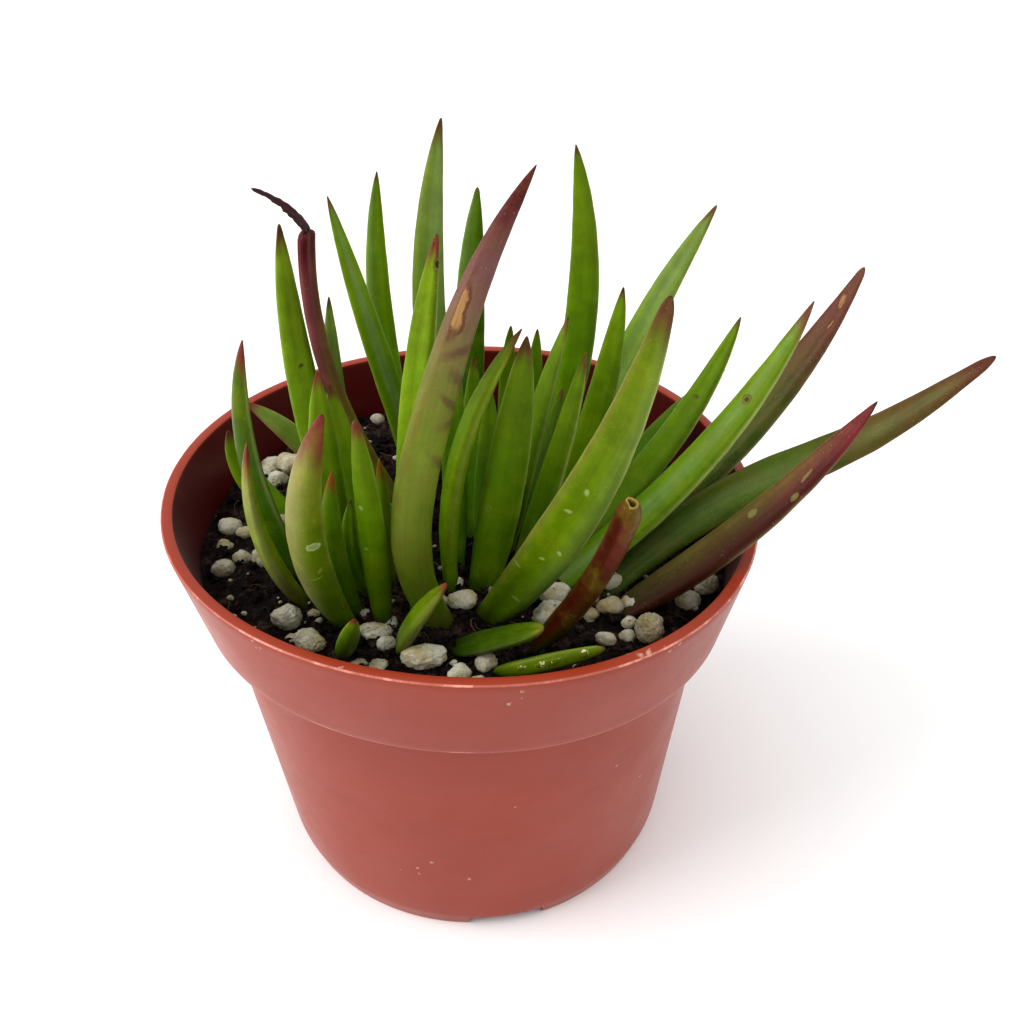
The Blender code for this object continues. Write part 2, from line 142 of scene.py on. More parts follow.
# Painted shade: this green darkens the shaded margin of many leaves and the soil end of some.
SHADE_GREEN = srgb(36, 60, 2)
MAROON = srgb(66, 14, 12)
GREY_GREEN = srgb(120, 142, 98)
YELLOW = srgb(138, 148, 24)
LIME = srgb(148, 184, 50)
SHADE = (SHADE_GREEN, 0.3, 0.8)
ROOT_SHADE = srgb(34, 40, 6)
DRY_POINT = srgb(44, 28, 22)
THREAD = srgb(58, 34, 40)
CUT_RIM = srgb(158, 120, 78)
CUT_HEART = srgb(56, 34, 14)
# The hollow where the cut leaf ends: (mm outward, share of the leaf's size); half rim, half heart
CUT_CUP = [(0.35, 0.90), (0.45, 0.80), (0.30, 0.68), (-0.25, 0.55), (-0.75, 0.35), (-0.9, 0.15)]

# family: (colour at the soil, body colour, upper colour), as screen values
FAMILIES = {
    "green": ((84, 116, 2), (94, 128, 2), (102, 130, 18)),
    "deep": ((56, 84, 2), (56, 84, 2), (72, 94, 8)),
    # The shaded family is painted shade: darker greens for leaves in the shade of the clump.
    "dark": ((60, 96, 2), (70, 108, 2), (88, 118, 14)),
    "pale": ((92, 120, 2), (102, 124, 6), (118, 124, 36)),
    "grey": ((80, 108, 6), (98, 128, 32), (114, 134, 62)),
    "bright": ((80, 106, 2), (96, 122, 4), (92, 110, 16)),
    "fresh": ((112, 138, 10), (120, 154, 14), (102, 126, 20)),
    "bronze": ((88, 112, 6), (116, 132, 42), (116, 80, 78)),
    "olive": ((58, 84, 4), (80, 102, 18), (92, 74, 34)),
    "red": ((54, 58, 4), (80, 60, 18), (122, 60, 52)),
    "cut": ((44, 52, 4), (64, 36, 14), (92, 38, 34)),
    "withered": ((104, 118, 6), (116, 100, 40), (112, 48, 54)),
}


def plan(family, tip, length, left=None, right=None, stripe=None, low=None, edge=(PALE, 0.3)):
    """How a leaf is painted.

    tip and length: its colour and length in mm.  left, right, stripe and low: (colour,
    strength, reach) of a tint from that margin, of the middle and of the soil end.
    edge: colour and strength of the thin margins.
    """
    return {"family": family, "tip": (tip, length), "left": left, "right": right, "stripe": stripe,
            "low": low, "edge": edge}


LEAVES = {
    "left_leaf_1": plan("pale", ROSE, 11, left=(CREAM, 0.6, 1.0), right=(SHADE_GREEN, 0.35, 0.7)),
    "left_leaf_2": plan("fresh", ROSE, 7, left=(CREAM, 0.5, 0.7), right=(SHADE_GREEN, 0.2, 0.5),
                        stripe=(YELLOW, 0.6, 0.4), low=(MAROON, 0.6, 18)),
    "left_leaf_3": plan("deep", ROSE, 7, edge=(PALE, 0.6)),
    "left_leaf_4": plan("green", BROWN, 3),
    "left_leaf_5": plan("grey", ROSE, 4, left=(PINK, 0.35, 0.5)),
    # Painted light: the fresh family and a lime stripe over the whole width brighten this leaf, which is
    # turned away from the main lamp.
    "left_leaf_6": plan("fresh", BROWN, 6, stripe=(LIME, 0.45, 1.0)),
    "left_leaf_7": plan("green", ROSE, 4, right=SHADE),
    "left_leaf_8": plan("green", BROWN, 4),
    "left_leaf_9": plan("dark", RUST, 5, right=SHADE),
    "left_leaf_10": plan("dark", BROWN, 2),
    "withered_leaf": plan("withered", WINE, 10, left=(MAUVE, 0.7, 0.4), right=(OLIVE, 0.5, 0.9),
                          edge=(RED_EDGE, 0.2)),
    "back_leaf_1": plan("grey", BROWN, 3),
    "back_leaf_2": plan("green", BROWN, 4, stripe=(GREY_GREEN, 0.4, 0.4)),
    "back_leaf_3": plan("green", BROWN, 3, left=(GREY_GREEN, 0.3, 0.8)),
    "back_leaf_4": plan("grey", BROWN, 6, right=(GREY_GREEN, 0.3, 0.9), edge=(RED_EDGE, 0.9)),
    "back_leaf_5": plan("dark", OLIVE, 2, left=(GREY_GREEN, 0.3, 0.9), right=(SHADE_GREEN, 0.5, 0.8)),
    "back_leaf_6": plan("green", BROWN, 3, right=SHADE),
    "back_leaf_7": plan("green", OLIVE, 2),
    "back_leaf_8": plan("dark", BROWN, 2),
    "centre_leaf_1": plan("green", ROSE, 5, right=(SHADE_GREEN, 0.2, 0.8)),
    "centre_leaf_2": plan("green", RUST, 5, right=SHADE),
    "bronze_leaf": plan("bronze", WINE, 16, right=(PURPLE, 0.6, 0.2), edge=(RED_EDGE, 0.2),
                        low=(SHADE_GREEN, 0.3, 24)),
    "centre_leaf_3": plan("fresh", ROSE, 6, stripe=(LIME, 0.3, 0.6), right=(SHADE_GREEN, 0.25, 0.6),
                          edge=(PALE, 0.9)),
    "centre_leaf_4": plan("green", BROWN, 6, left=(SHADE_GREEN, 0.25, 0.6), right=(YELLOW, 0.3, 0.8)),
    "centre_leaf_5": plan("dark", BROWN, 3),
    "centre_leaf_6": plan("dark", BROWN, 3),
    "centre_leaf_7": plan("green", BROWN, 6, right=SHADE, edge=(PALE, 0.5)),
    "centre_leaf_8": plan("dark", BROWN, 2),
    "centre_leaf_9": plan("green", BROWN, 4, right=SHADE, edge=(PALE, 0.4)),
    "centre_leaf_10": plan("dark", BROWN, 3, right=(SHADE_GREEN, 0.6, 1.4)),
    "centre_leaf_11": plan("green", BROWN, 5, right=SHADE, edge=(PALE, 0.6)),
    "big_leaf": plan("bright", BROWN, 9, left=(PINK, 0.25, 0.3), right=(GREY_GREEN, 0.2, 0.6),
                     edge=(PALE, 0.7), low=(SHADE_GREEN, 0.3, 22)),
    "right_leaf_1": plan("green", BROWN, 3, right=SHADE),
    "right_leaf_2": plan("grey", BROWN, 5, stripe=(GREY_GREEN, 0.3, 0.5)),
    "right_leaf_3": plan("green", BROWN, 3, right=SHADE, edge=(PALE, 0.9)),
    "right_leaf_4": plan("dark", OLIVE, 3, edge=(PALE, 0.7)),
    "right_leaf_5": plan("green", PURPLE, 8, stripe=(GREY_GREEN, 0.4, 0.4), right=(SHADE_GREEN, 0.3, 0.5),
                         edge=(PALE, 0.8)),
    "right_leaf_6": plan("olive", PURPLE, 24, right=(SHADE_GREEN, 0.5, 0.9)),
    "right_leaf_7": plan("olive", BROWN, 12, stripe=(GREY_GREEN, 0.25, 0.4), right=(SHADE_GREEN, 0.4, 0.5),
                         edge=(RED_EDGE, 0.6)),
    "red_leaf": plan("red", ROSE, 14, right=(MAROON, 0.85, 0.9), left=(OLIVE, 0.6, 0.9),
                     edge=(PALE, 0.4)),
    "cut_leaf": plan("cut", WINE, 5, stripe=(MAROON, 0.9, 0.55), edge=(RED_EDGE, 0.2)),
    "front_leaf_1": plan("deep", OLIVE, 1.5, edge=(PALE, 0.2)),
    "front_leaf_2": plan("bright", OLIVE, 1.5),
    "front_leaf_3": plan("bright", ROSE, 2.5, right=(CREAM, 0.15, 0.6)),
    "front_leaf_4": plan("green", ROSE, 2, right=SHADE),
}

# How much of the point is rounded off some tips, in mm.
BLUNT_TIPS = {
    "withered_leaf": 1.6, "right_leaf_7": 3.5, "right_leaf_6": 2.0, "big_leaf": 3.0, "front_leaf_1": 4.0,
    "front_leaf_2": 2.5, "centre_leaf_1": 1.8, "left_leaf_1": 1.0, "left_leaf_6": 0.8, "back_leaf_5": 0.8,
    "front_leaf_3": 0.6, "back_leaf_4": 0.6, "centre_leaf_3": 0.8, "right_leaf_2": 0.6}
# How much some leaves narrow towards the tip, as a share of their width.
SLIMMING = {"bronze_leaf": 0.28, "big_leaf": 0.12}

# Leaves that end in a dry black point, and its length in mm.
DRY_POINTS = {
    "red_leaf": 2.2, "right_leaf_1": 1.6, "left_leaf_3": 1.0, "centre_leaf_9": 1.0, "centre_leaf_4": 1.4,
    "right_leaf_5": 1.0, "left_leaf_10": 1.2}

# Marks of a leaf: the side they lie on, and (kind, mm along, mm from the middle, half length,
# half width, degrees) of each
KEEL = -10
FACE = 10
MARKS = {
    "left_leaf_1": (KEEL, [("disc", 29, 2, 1, 1.4, 10), ("scratch", 24, -2, 0.3, 1, -30),
                           ("scratch", 20, 1, 0.3, 1.5, 15), ("scratch", 22, 2, 0.3, 0.8, 60),
                           ("scab", 8, 3, 0.5, 0.5, 0)]),
    "left_leaf_6": (FACE, [("hole", 42, 0, 0.6, 0.6, 0)]),
    "centre_leaf_1": (KEEL, [("disc", 30, -1, 0.5, 0.4, 0), ("scratch", 20, -1, 0.3, 0.7, 40),
                             ("scratch", 10, -2, 0.3, 1, -15)]),
    "centre_leaf_7": (FACE, [("ring", 19, -2, 0.7, 0.5, 0)]),
    "bronze_leaf": (KEEL, [("scab", 65, -4, 6, 1.6, 0), ("blotch", 58, -2, 1, 4, 35),
                           ("blotch", 53, 0, 1.2, 4, -35), ("blotch", 46, 1, 1.2, 4, 25),
                           ("blotch", 49, -1, 0.8, 3.5, -30), ("blotch", 54, 3, 14, 1, 0),
                           ("blotch", 38, 0, 1, 3.5, -30), ("blotch", 26, 3.5, 14, 0.4, 0)]),
    "centre_leaf_3": (FACE, [("hole", 65, 1, 1.2, 0.5, 0)]),
    "big_leaf": (FACE, [("scratch", 10, 1, 0.3, 1, 20), ("scratch", 17, -3, 0.3, 1, 0),
                        ("fleck", 41, 0, 0.7, 0.5, 30), ("fleck", 35, -1, 0.4, 0.9, 20),
                        ("fleck", 26, 2, 0.5, 0.5, 0), ("fleck", 22, 0, 0.3, 0.6, 50)]),
    "front_leaf_2": (KEEL, [("sand", 9, -2, 1, 0.5, 0), ("sand", 14, -1.5, 2.5, 0.6, 0),
                            ("sand", 20, -1, 1, 0.8, 0)]),
    "right_leaf_5": (FACE, [("hole", 54, 0, 0.9, 0.9, 0)]),
    "right_leaf_3": (FACE, [("hole", 44, 0, 0.5, 0.5, 0)]),
    "right_leaf_6": (FACE, [("scab", 77, 0, 2.5, 1, 15), ("scab", 72, 1, 2, 0.4, 0)]),
    "red_leaf": (FACE, [("scratch", 34, -1, 1, 0.5, 0), ("scratch", 42, 2, 1, 0.5, 10),
                        ("scratch", 46, 0.5, 1.5, 0.3, 10)]),
}

# kind: (inner colour, rim colour, both as screen values, strength, height in mm)
MARK_LOOKS = {
    "disc": ((146, 160, 108), (172, 184, 132), 0.70, 0.03),
    "ring": ((80, 110, 20), (140, 156, 84), 0.45, -0.03),
    "scratch": ((160, 170, 92), (150, 164, 84), 0.35, -0.03),
    "fleck": ((190, 196, 140), (150, 164, 90), 0.45, 0.04),
    "scab": ((172, 132, 82), (100, 60, 42), 0.80, 0.12),
    "hole": ((40, 30, 14), (124, 112, 64), 0.80, -0.15),
    "blotch": ((88, 44, 46), (92, 52, 46), 0.55, 0.0),
    "sand": ((232, 226, 200), (222, 214, 180), 0.85, 0.10),
}

# ---- Grains on the soil ----
CRUMBS = 1900
ROOT_CRUMBS = 9            # heaped round the foot of each leaf
FIBRES = 260
DUST = 170
SOIL_RINGS = 110           # rows of points in the soil's surface, and points in each
SOIL_STEPS = 300
SOIL_REACH = 55.0          # loose pieces are drawn within this radius, and kept off the wall
LOBE_POWER = 24            # how tightly a grain's lobes fuse, and its flats cut
FLAT_POWER = 10
# Pale grains lie in patches: (x, y, spread, number, size) in mm
GRAIN_PATCHES = [
    (17, -28, 3, 2, 6),      # between the big and the cut leaf
    (26, -28, 5, 5, 5),      # right front
    (28, -38, 4, 4, 4),      # by the right front rim
    (0, -44, 4, 4, 4),       # front
    (-16, -40, 5, 5, 4),     # left front
    (-20, -28, 3, 2, 4),     # between the left and centre leaves
    (-4, -24, 2, 2, 5),      # behind the bronze leaf
    (-32, -32, 4, 3, 3),     # by the left front rim
    (-48, -4, 7, 8, 5),      # left wall
    (-44, 24, 5, 4, 6),      # left back
    (42, -22, 6, 3, 5),      # right
    (0, 44, 16, 5, 4),       # back
    (40, 24, 10, 4, 4),      # right back
    (-10, 0, 28, 14, 3),     # here and there
]


def smooth_step(low, high, value):
    share = np.clip((value - low) / (high - low), 0.0, 1.0)
    return share * share * (3 - 2 * share)


def polar(radius, turn):
    return radius * math.cos(turn), radius * math.sin(turn)


def blend(first, second, share):
    share = np.asarray(share)[..., None]
    return np.asarray(first) * (1 - share) + np.asarray(second) * share


# ---- Shader helper ----
class Shader:
    """A material's node tree, built call by call."""

    def __init__(self, name):
        self.mat = bpy.data.materials.new(name)
        self.mat.use_nodes = True
        self.tree = self.mat.node_tree
        self.surface = self.tree.nodes["Principled BSDF"]
        self.place = self.add("ShaderNodeTexCoord").outputs["Object"]

    def add(self, kind, **settings):
        node = self.tree.nodes.new(kind)
        for key, value in settings.items():
            setattr(node, key, value)
        return node

    def put(self, socket, value):
        if isinstance(value, bpy.types.NodeSocket):
            self.tree.links.new(value, socket)
        elif isinstance(value, (tuple, list)) and len(value) == 3 and socket.type == "RGBA":
            socket.default_value = (*value, 1.0)
        else:
            socket.default_value = value

    def fill(self, node, output, **values):
        """Set a node's inputs by name, with _ for a space, and return one of its outputs."""
        for key, value in values.items():
            self.put(node.inputs[key.replace("_", " ")], value)
        return node.outputs[output]

    def attribute(self, name, output="Vector"):
        return self.add("ShaderNodeAttribute", attribute_name=name).outputs[output]

    def combine(self, kind, operation, values):
        node = self.add(kind, operation=operation)
        for socket, value in zip(node.inputs, values):
            self.put(socket, value)
        return node.outputs

    def math(self, operation, *values):
        return self.combine("ShaderNodeMath", operation, values)[0]

    def times(self, first, second):
        return self.math("MULTIPLY", first, second)

    def vector(self, operation, *values):
        number = operation in ("LENGTH", "DISTANCE", "DOT_PRODUCT")
        return self.combine("ShaderNodeVectorMath", operation, values)["Value" if number else "Vector"]

    def noise(self, scale, detail=3.0, rough=0.55, at=None, output="Fac"):
        return self.fill(self.add("ShaderNodeTexNoise"), output, Vector=at or self.place, Scale=scale,
                         Detail=detail, Roughness=rough)

    def cells(self, scale):
        return self.fill(self.add("ShaderNodeTexVoronoi"), "Distance", Vector=self.place, Scale=scale)

    def span(self, value, low, high, to_low=0.0, to_high=1.0):
        node = self.add("ShaderNodeMapRange", interpolation_type="SMOOTHSTEP")
        return self.fill(node, "Result", Value=value, From_Min=low, From_Max=high, To_Min=to_low,
                         To_Max=to_high)

    def shaken(self, place, scale, rough, reach):
        """A place moved about at random, by up to half of reach each way."""
        stray = self.noise(scale, 3.0, rough, output="Color")
        stray = self.vector("SUBTRACT", stray, (0.5, 0.5, 0.5))
        return self.vector("ADD", place, self.vector("MULTIPLY", stray, reach))

    def mix(self, share, first, second, blend_type="MIX"):
        node = self.add("ShaderNodeMix", data_type="RGBA", blend_type=blend_type)
        self.put(node.inputs[0], share)
        self.put(node.inputs[6], first)
        self.put(node.inputs[7], second)
        return node.outputs[2]

    def scale_colour(self, colour, factor):
        grey = self.add("ShaderNodeCombineColor")
        for socket in grey.inputs[:3]:
            self.put(socket, factor)
        return self.mix(1.0, colour, grey.outputs[0], "MULTIPLY")

    def bump(self, height, distance, strength=1.0, after=None):
        values = {"Normal": after} if after else {}
        return self.fill(self.add("ShaderNodeBump"), "Normal", Height=height, Distance=distance,
                         Strength=strength, **values)

    def finish(self, colour, roughness, normal=None, **values):
        if normal:
            values["Normal"] = normal
        self.fill(self.surface, "BSDF", Base_Color=colour, Roughness=roughness, **values)
        return self.mat


# ---- Mesh helpers ----
def add_object(name, data):
    obj = bpy.data.objects.new(name, data)
    bpy.context.scene.collection.objects.link(obj)
    return obj


def make_object(name, points, faces, material):
    mesh = bpy.data.meshes.new(name)
    mesh.from_pydata([tuple(point) for point in points], [], faces)
    mesh.validate()
    mesh.update()
    mesh.shade_smooth()
    mesh.materials.append(material)
    return add_object(name, mesh)


def face_outward(mesh):
    work = bmesh.new()
    work.from_mesh(mesh)
    bmesh.ops.recalc_face_normals(work, faces=work.faces)
    work.to_mesh(mesh)
    work.free()


def around(count):
    """Cosine and sine of evenly spaced turns."""
    return [polar(1.0, 2 * math.pi * k / count) for k in range(count)]


def ring_faces(first, second, count, flip=False):
    """Quads between two rings of points that start at first and at second, or turned over."""
    for k in range(count):
        n = (k + 1) % count
        if flip:
            yield first + k, second + k, second + n, first + n
        else:
            yield first + k, first + n, second + n, second + k


def tube_faces(rings, count):
    """Quads along a tube of rings of points, and its two flat ends."""
    faces = []
    for row in range(rings - 1):
        faces += ring_faces(row * count, (row + 1) * count, count)
    faces.append(tuple(range(count))[::-1])
    faces.append(tuple((rings - 1) * count + k for k in range(count)))
    return faces


def ball(level):
    """Directions of the points of a ball, and its faces."""
    work = bmesh.new()
    bmesh.ops.create_icosphere(work, subdivisions=level, radius=1.0)
    ways = [vert.co.normalized() for vert in work.verts]
    faces = [tuple(vert.index for vert in face.verts) for face in work.faces]
    work.free()
    return ways, faces


def keep(obj, name, kind, values):
    """Store one value per vertex on the mesh."""
    made = obj.data.attributes.new(name, kind, "POINT")
    key = "color" if kind == "FLOAT_COLOR" else "vector"
    made.data.foreach_set(key, np.asarray(values, dtype=np.float32).ravel())


def read_rings(node):
    """The sections of a leaf's frame node, from the soil to the tip."""
    work = bmesh.new()
    work.from_mesh(node.data)
    bmesh.ops.remove_doubles(work, verts=work.verts, dist=1e-6)
    ring = {vert for vert in work.verts if abs(vert.co.z / MM - SEAT) < 0.002}
    seen = set(ring)
    rings = []
    while ring:
        rings.append(np.array(sorted(vert.co[:] for vert in ring)))
        ring = {edge.other_vert(vert) for vert in ring for edge in vert.link_edges} - seen
        seen |= ring
    work.free()
    if len(rings[0]) != 8:
        raise ValueError(f"{node.name}: the section at the soil has {len(rings[0])} points")
    return rings


def read_sections(node):
    """Centre, direction across, direction of the keel, width and keel depth of each section."""
    rows = []
    rings = read_rings(node)
    lean = rings[-1][0, 0] - rings[0][0, 0]
    # Across is to the right; where it runs straight back, to the right of a leaning leaf.
    right = np.array((1.0, -0.01 if lean > 0 else 0.01, 0.0))
    for ring in rings:
        if len(ring) == 1:
            rows.append((ring[0], rows[-1][1], rows[-1][2], 0.0, 0.0))
            continue
        gaps = np.linalg.norm(ring[:, None] - ring[None, :], axis=2)
        i, j = np.unravel_index(gaps.argmax(), gaps.shape)
        centre = (ring[i] + ring[j]) / 2
        across = (ring[i] - ring[j]) / gaps[i, j]
        if across @ (rows[-1][1] if rows else right) < 0:
            across = -across
        keel = ring.mean(axis=0) - centre
        keel -= across * (keel @ across)
        keel /= np.linalg.norm(keel)
        depth = ((ring - centre) @ keel).max()
        rows.append((centre, across, keel, gaps[i, j], depth))
    return [np.array(column) for column in zip(*rows)]


def through(marks, values, wanted):
    """A smooth curve through the values at the marks, read at the wanted marks."""
    slopes = np.gradient(values, marks, axis=0)
    i = np.clip(np.searchsorted(marks, wanted) - 1, 0, len(marks) - 2)
    step = marks[i + 1] - marks[i]
    t = (wanted - marks[i]) / step
    if values.ndim > 1:
        step = step[:, None]
        t = t[:, None]
    return ((2 * t ** 3 - 3 * t ** 2 + 1) * values[i] + (t ** 3 - 2 * t ** 2 + t) * step * slopes[i]
            + (3 * t ** 2 - 2 * t ** 3) * values[i + 1] + (t ** 3 - t ** 2) * step * slopes[i + 1])


# ---- Building the leaves ----
def leaf_outline():
    """One section: place across (-1..1) and height as a share of the keel's depth."""
    turn = np.arange(LEAF_STEPS) * 2 * math.pi / LEAF_STEPS
    across = np.cos(turn)
    size = np.abs(across)
    upper = 0.53 * (1 - size ** 3) ** 0.6 * (1 - 0.35 * np.exp(-(size / 0.45) ** 2))
    lower = -(1 - size ** 1.7) ** 0.62
    return across, np.where(np.sin(turn) >= 0, upper, lower), np.where(np.sin(turn) >= 0, 1.0, -1.0)


def tint(colour, paint, share):
    return colour if paint is None else blend(colour, paint[0], share * paint[1])


def paint_leaf(looks, dry, along, length, across):
    root, body, upper = (srgb(*shade) for shade in FAMILIES[looks["family"]])
    share = along / length
    colour = blend(root, body, smooth_step(0.0, 0.4, share))
    colour = blend(colour, upper, smooth_step(0.45, 0.8, share))
    for key, place in (("left", -across), ("right", across)):
        if looks[key]:
            reach = looks[key][2]
            # Only the maroon margin starts at the soil.
            rise = smooth_step(0.02, 0.25, share) if looks[key][0] is not MAROON else 1.0
            spread = smooth_step(1 - 1.5 * reach, 1 - 0.3 * reach, place)
            colour = tint(colour, looks[key], spread * rise)
    if looks["stripe"]:
        reach = looks["stripe"][2]
        colour = tint(colour, looks["stripe"], smooth_step(1.3 * reach, 0.5 * reach, np.abs(across)))
    if looks["low"]:
        fall = smooth_step(looks["low"][2], 0.3 * looks["low"][2], along) * smooth_step(0.9, -0.6, across)
        colour = tint(colour, looks["low"], fall)
    edge = smooth_step(0.9, 0.99, np.abs(across)) * 0.6 * looks["edge"][1] * smooth_step(0.05, 0.5, share)
    colour = blend(colour, looks["edge"][0], edge)
    tip, tip_length = looks["tip"]
    reach = tip_length * (1.0 + 0.5 * np.abs(across))
    colour = blend(colour, tip, smooth_step(1.0, 0.2, (length - along) / reach))
    colour = blend(colour, ROOT_SHADE, 0.75 * smooth_step(6.0, 0.0, along))
    point = smooth_step(1.0, 0.3, (length - along) / dry) * min(1.0, dry)
    return blend(colour, DRY_POINT, point)


def middle_distances(section):
    """Distance over the surface from the middle of its side to each point of a section, in mm.

    Points run from the margin over the face to the other margin and back under the keel.
    """
    steps = np.linalg.norm(np.roll(section, -1, axis=0) - section, axis=1) / MM
    run = np.concatenate([[0.0], np.cumsum(steps)])
    quarter = LEAF_STEPS // 4
    over = run[quarter] - run[:2 * quarter]
    under = run[2 * quarter:4 * quarter] - run[3 * quarter]
    return np.concatenate([over, under])


def loft_rows(rows, seed, coords, points, wrinkle=0.0):
    """Add a section's ring of points for every row (mm along, centre, across, keel, half, deep)."""
    place, height, side = leaf_outline()
    start = len(points)
    for along, mid, ax, kl, hw, dp in rows:
        wave = 1 + 0.02 * noise.noise(Vector((seed * 3.1, 0.4, along / (7 * MM))))
        ring = []
        for q, h in zip(place, height):
            point = Vector(mid + ax * hw * q * wave - kl * dp * h)
            lift = noise.noise(point / (4 * MM)) * UNEVEN * MM * min(1.0, hw / (1.5 * MM))
            if wrinkle:
                lift += wrinkle * hw * noise.noise(point / (0.9 * MM) + Vector((seed, 0, 0)))
            point += Vector(-kl * h + ax * q).normalized() * lift
            ring.append(point)
        far = middle_distances(np.array([point[:] for point in ring]))
        points.extend(ring)
        coords.extend((f, along / MM, s, q) for f, s, q in zip(far, side, place))
    faces = []
    for row in range(len(rows) - 1):
        below = start + row * LEAF_STEPS
        faces += ring_faces(below, below + LEAF_STEPS, LEAF_STEPS)
    faces.append(tuple(start + i for i in range(LEAF_STEPS))[::-1])
    return faces, start + (len(rows) - 1) * LEAF_STEPS


def close_tip(points, coords, faces, top, tip, along):
    points.append(Vector(tip))
    coords.append((0.0, along / MM, 1.0, 0.0))
    for i in range(LEAF_STEPS):
        faces.append((top + i, top + (i + 1) % LEAF_STEPS, len(points) - 1))


def rows_through(sections, low, high, spacing=ROW_SPACING * MM):
    """Fine rows between two of the frame's sections, closer together towards the end."""
    centre, across, keel, width, depth = sections
    steps = np.linalg.norm(np.diff(centre, axis=0), axis=1)
    marks = np.concatenate([[0.0], np.cumsum(steps)])
    span = marks[high] - marks[low]
    count = int(np.clip(span / spacing, 30, 110))
    wanted = marks[low] + span * (1 - (1 - np.linspace(0, 1, count)) ** 1.25)
    middle = through(marks, centre, wanted)
    u = through(marks, across, wanted)
    u /= np.linalg.norm(u, axis=1)[:, None]
    v = through(marks, keel, wanted)
    v -= u * (u * v).sum(axis=1)[:, None]
    v /= np.linalg.norm(v, axis=1)[:, None]
    half = np.interp(wanted, marks, width) / 2
    deep = np.interp(wanted, marks, depth)
    return marks, wanted, middle, u, v, half, deep


def build_leaf(name, node, looks, seed):
    sections = read_sections(node)
    width, depth = sections[3], sections[4]
    withered = name == "withered_leaf"
    body_end = WITHERED_BODY if withered else len(width) - 1
    marks, wanted, middle, u, v, half, deep = rows_through(sections, 0, body_end)
    length = marks[body_end]
    pointed = name != "cut_leaf"
    gap = length - wanted
    if pointed:
        last = marks[body_end - 1]
        blunt = BLUNT_TIPS.get(name, 0.25) * MM
        if withered:
            level = np.minimum(wanted, marks[body_end - 2])
            half = np.interp(level, marks, width) / 2
            deep = np.interp(level, marks, depth)
        else:
            back = wanted - blunt * np.exp(-gap / (2.5 * blunt))
            share = np.clip((length - back) / (length - last), 0, 1) ** 0.8
            half = np.where(back > last, width[-2] / 2 * share, np.interp(back, marks, width) / 2)
            deep = np.where(back > last, depth[-2] * share, np.interp(back, marks, depth))
        dome = np.sqrt(np.clip(1 - (1 - np.minimum(gap / blunt, 1)) ** 2, 0, 1))
        half, deep = half * dome, deep * dome
    half = half * (1 - SLIMMING.get(name, 0) * smooth_step(0.35, 0.8, wanted / length))
    points = []
    coords = []
    down = np.array((0, 0, -BURIED * MM))
    rows = [(-BURIED * MM, middle[0] + down, u[0], v[0], 0.8 * half[0], 0.8 * deep[0])]
    rows += list(zip(wanted, middle, u, v, half, deep))
    if pointed:
        rows = rows[:-1]
    faces, top = loft_rows(rows, seed, coords, points)
    if pointed:
        close_tip(points, coords, faces, top, middle[-1], length)
    else:
        way = (middle[-1] - middle[-3]) / np.linalg.norm(middle[-1] - middle[-3])
        cup_rows = []
        for i, (rise, size) in enumerate(CUT_CUP):
            spot = middle[-1] + way * rise * MM
            cup_rows.append((length + 0.01 * i * MM, spot, u[-1], v[-1], half[-1] * size, deep[-1] * size))
        start = len(points)
        more, inner = loft_rows(cup_rows, seed, coords, points, wrinkle=0.12)
        faces += more[:-1]
        faces += ring_faces(top, start, LEAF_STEPS)
        faces.append(tuple(inner + i for i in range(LEAF_STEPS)))
    body = len(points)
    if withered:
        _, wanted, middle, u, v, half, deep = rows_through(sections, body_end, len(width) - 1,
                                                           THREAD_SPACING * MM)
        taper = 1 - 0.55 * (wanted - length) / (wanted[-1] - length)
        half = np.minimum(half, THREAD_SIZE[0] * MM * taper)
        deep = np.minimum(deep, THREAD_SIZE[1] * MM * taper)
        rows = list(zip(wanted, middle, u, v, half, deep))[:-1]
        more, top = loft_rows(rows, seed, coords, points, wrinkle=0.42)
        close_tip(points, coords, more, top, middle[-1], wanted[-1])
        faces += more
    obj = make_object(name + "_fine", points, faces, leaf_material(name, looks["family"]))
    face_outward(obj.data)
    coords = np.array(coords)
    colour = paint_leaf(looks, DRY_POINTS.get(name, 0.5), np.clip(coords[:, 1], 0, None), length / MM,
                        coords[:, 3])
    if withered:
        colour[body:] = THREAD
    if not pointed:
        colour[-6 * LEAF_STEPS:-3 * LEAF_STEPS] = CUT_RIM
        colour[-3 * LEAF_STEPS:] = CUT_HEART
    keep(obj, "paint", "FLOAT_COLOR", np.hstack([colour, np.ones((len(colour), 1))]))
    keep(obj, "leaf", "FLOAT_VECTOR", coords[:, :3] * np.array([1, 1, 10]))
    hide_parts(name)
    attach(obj, "root")


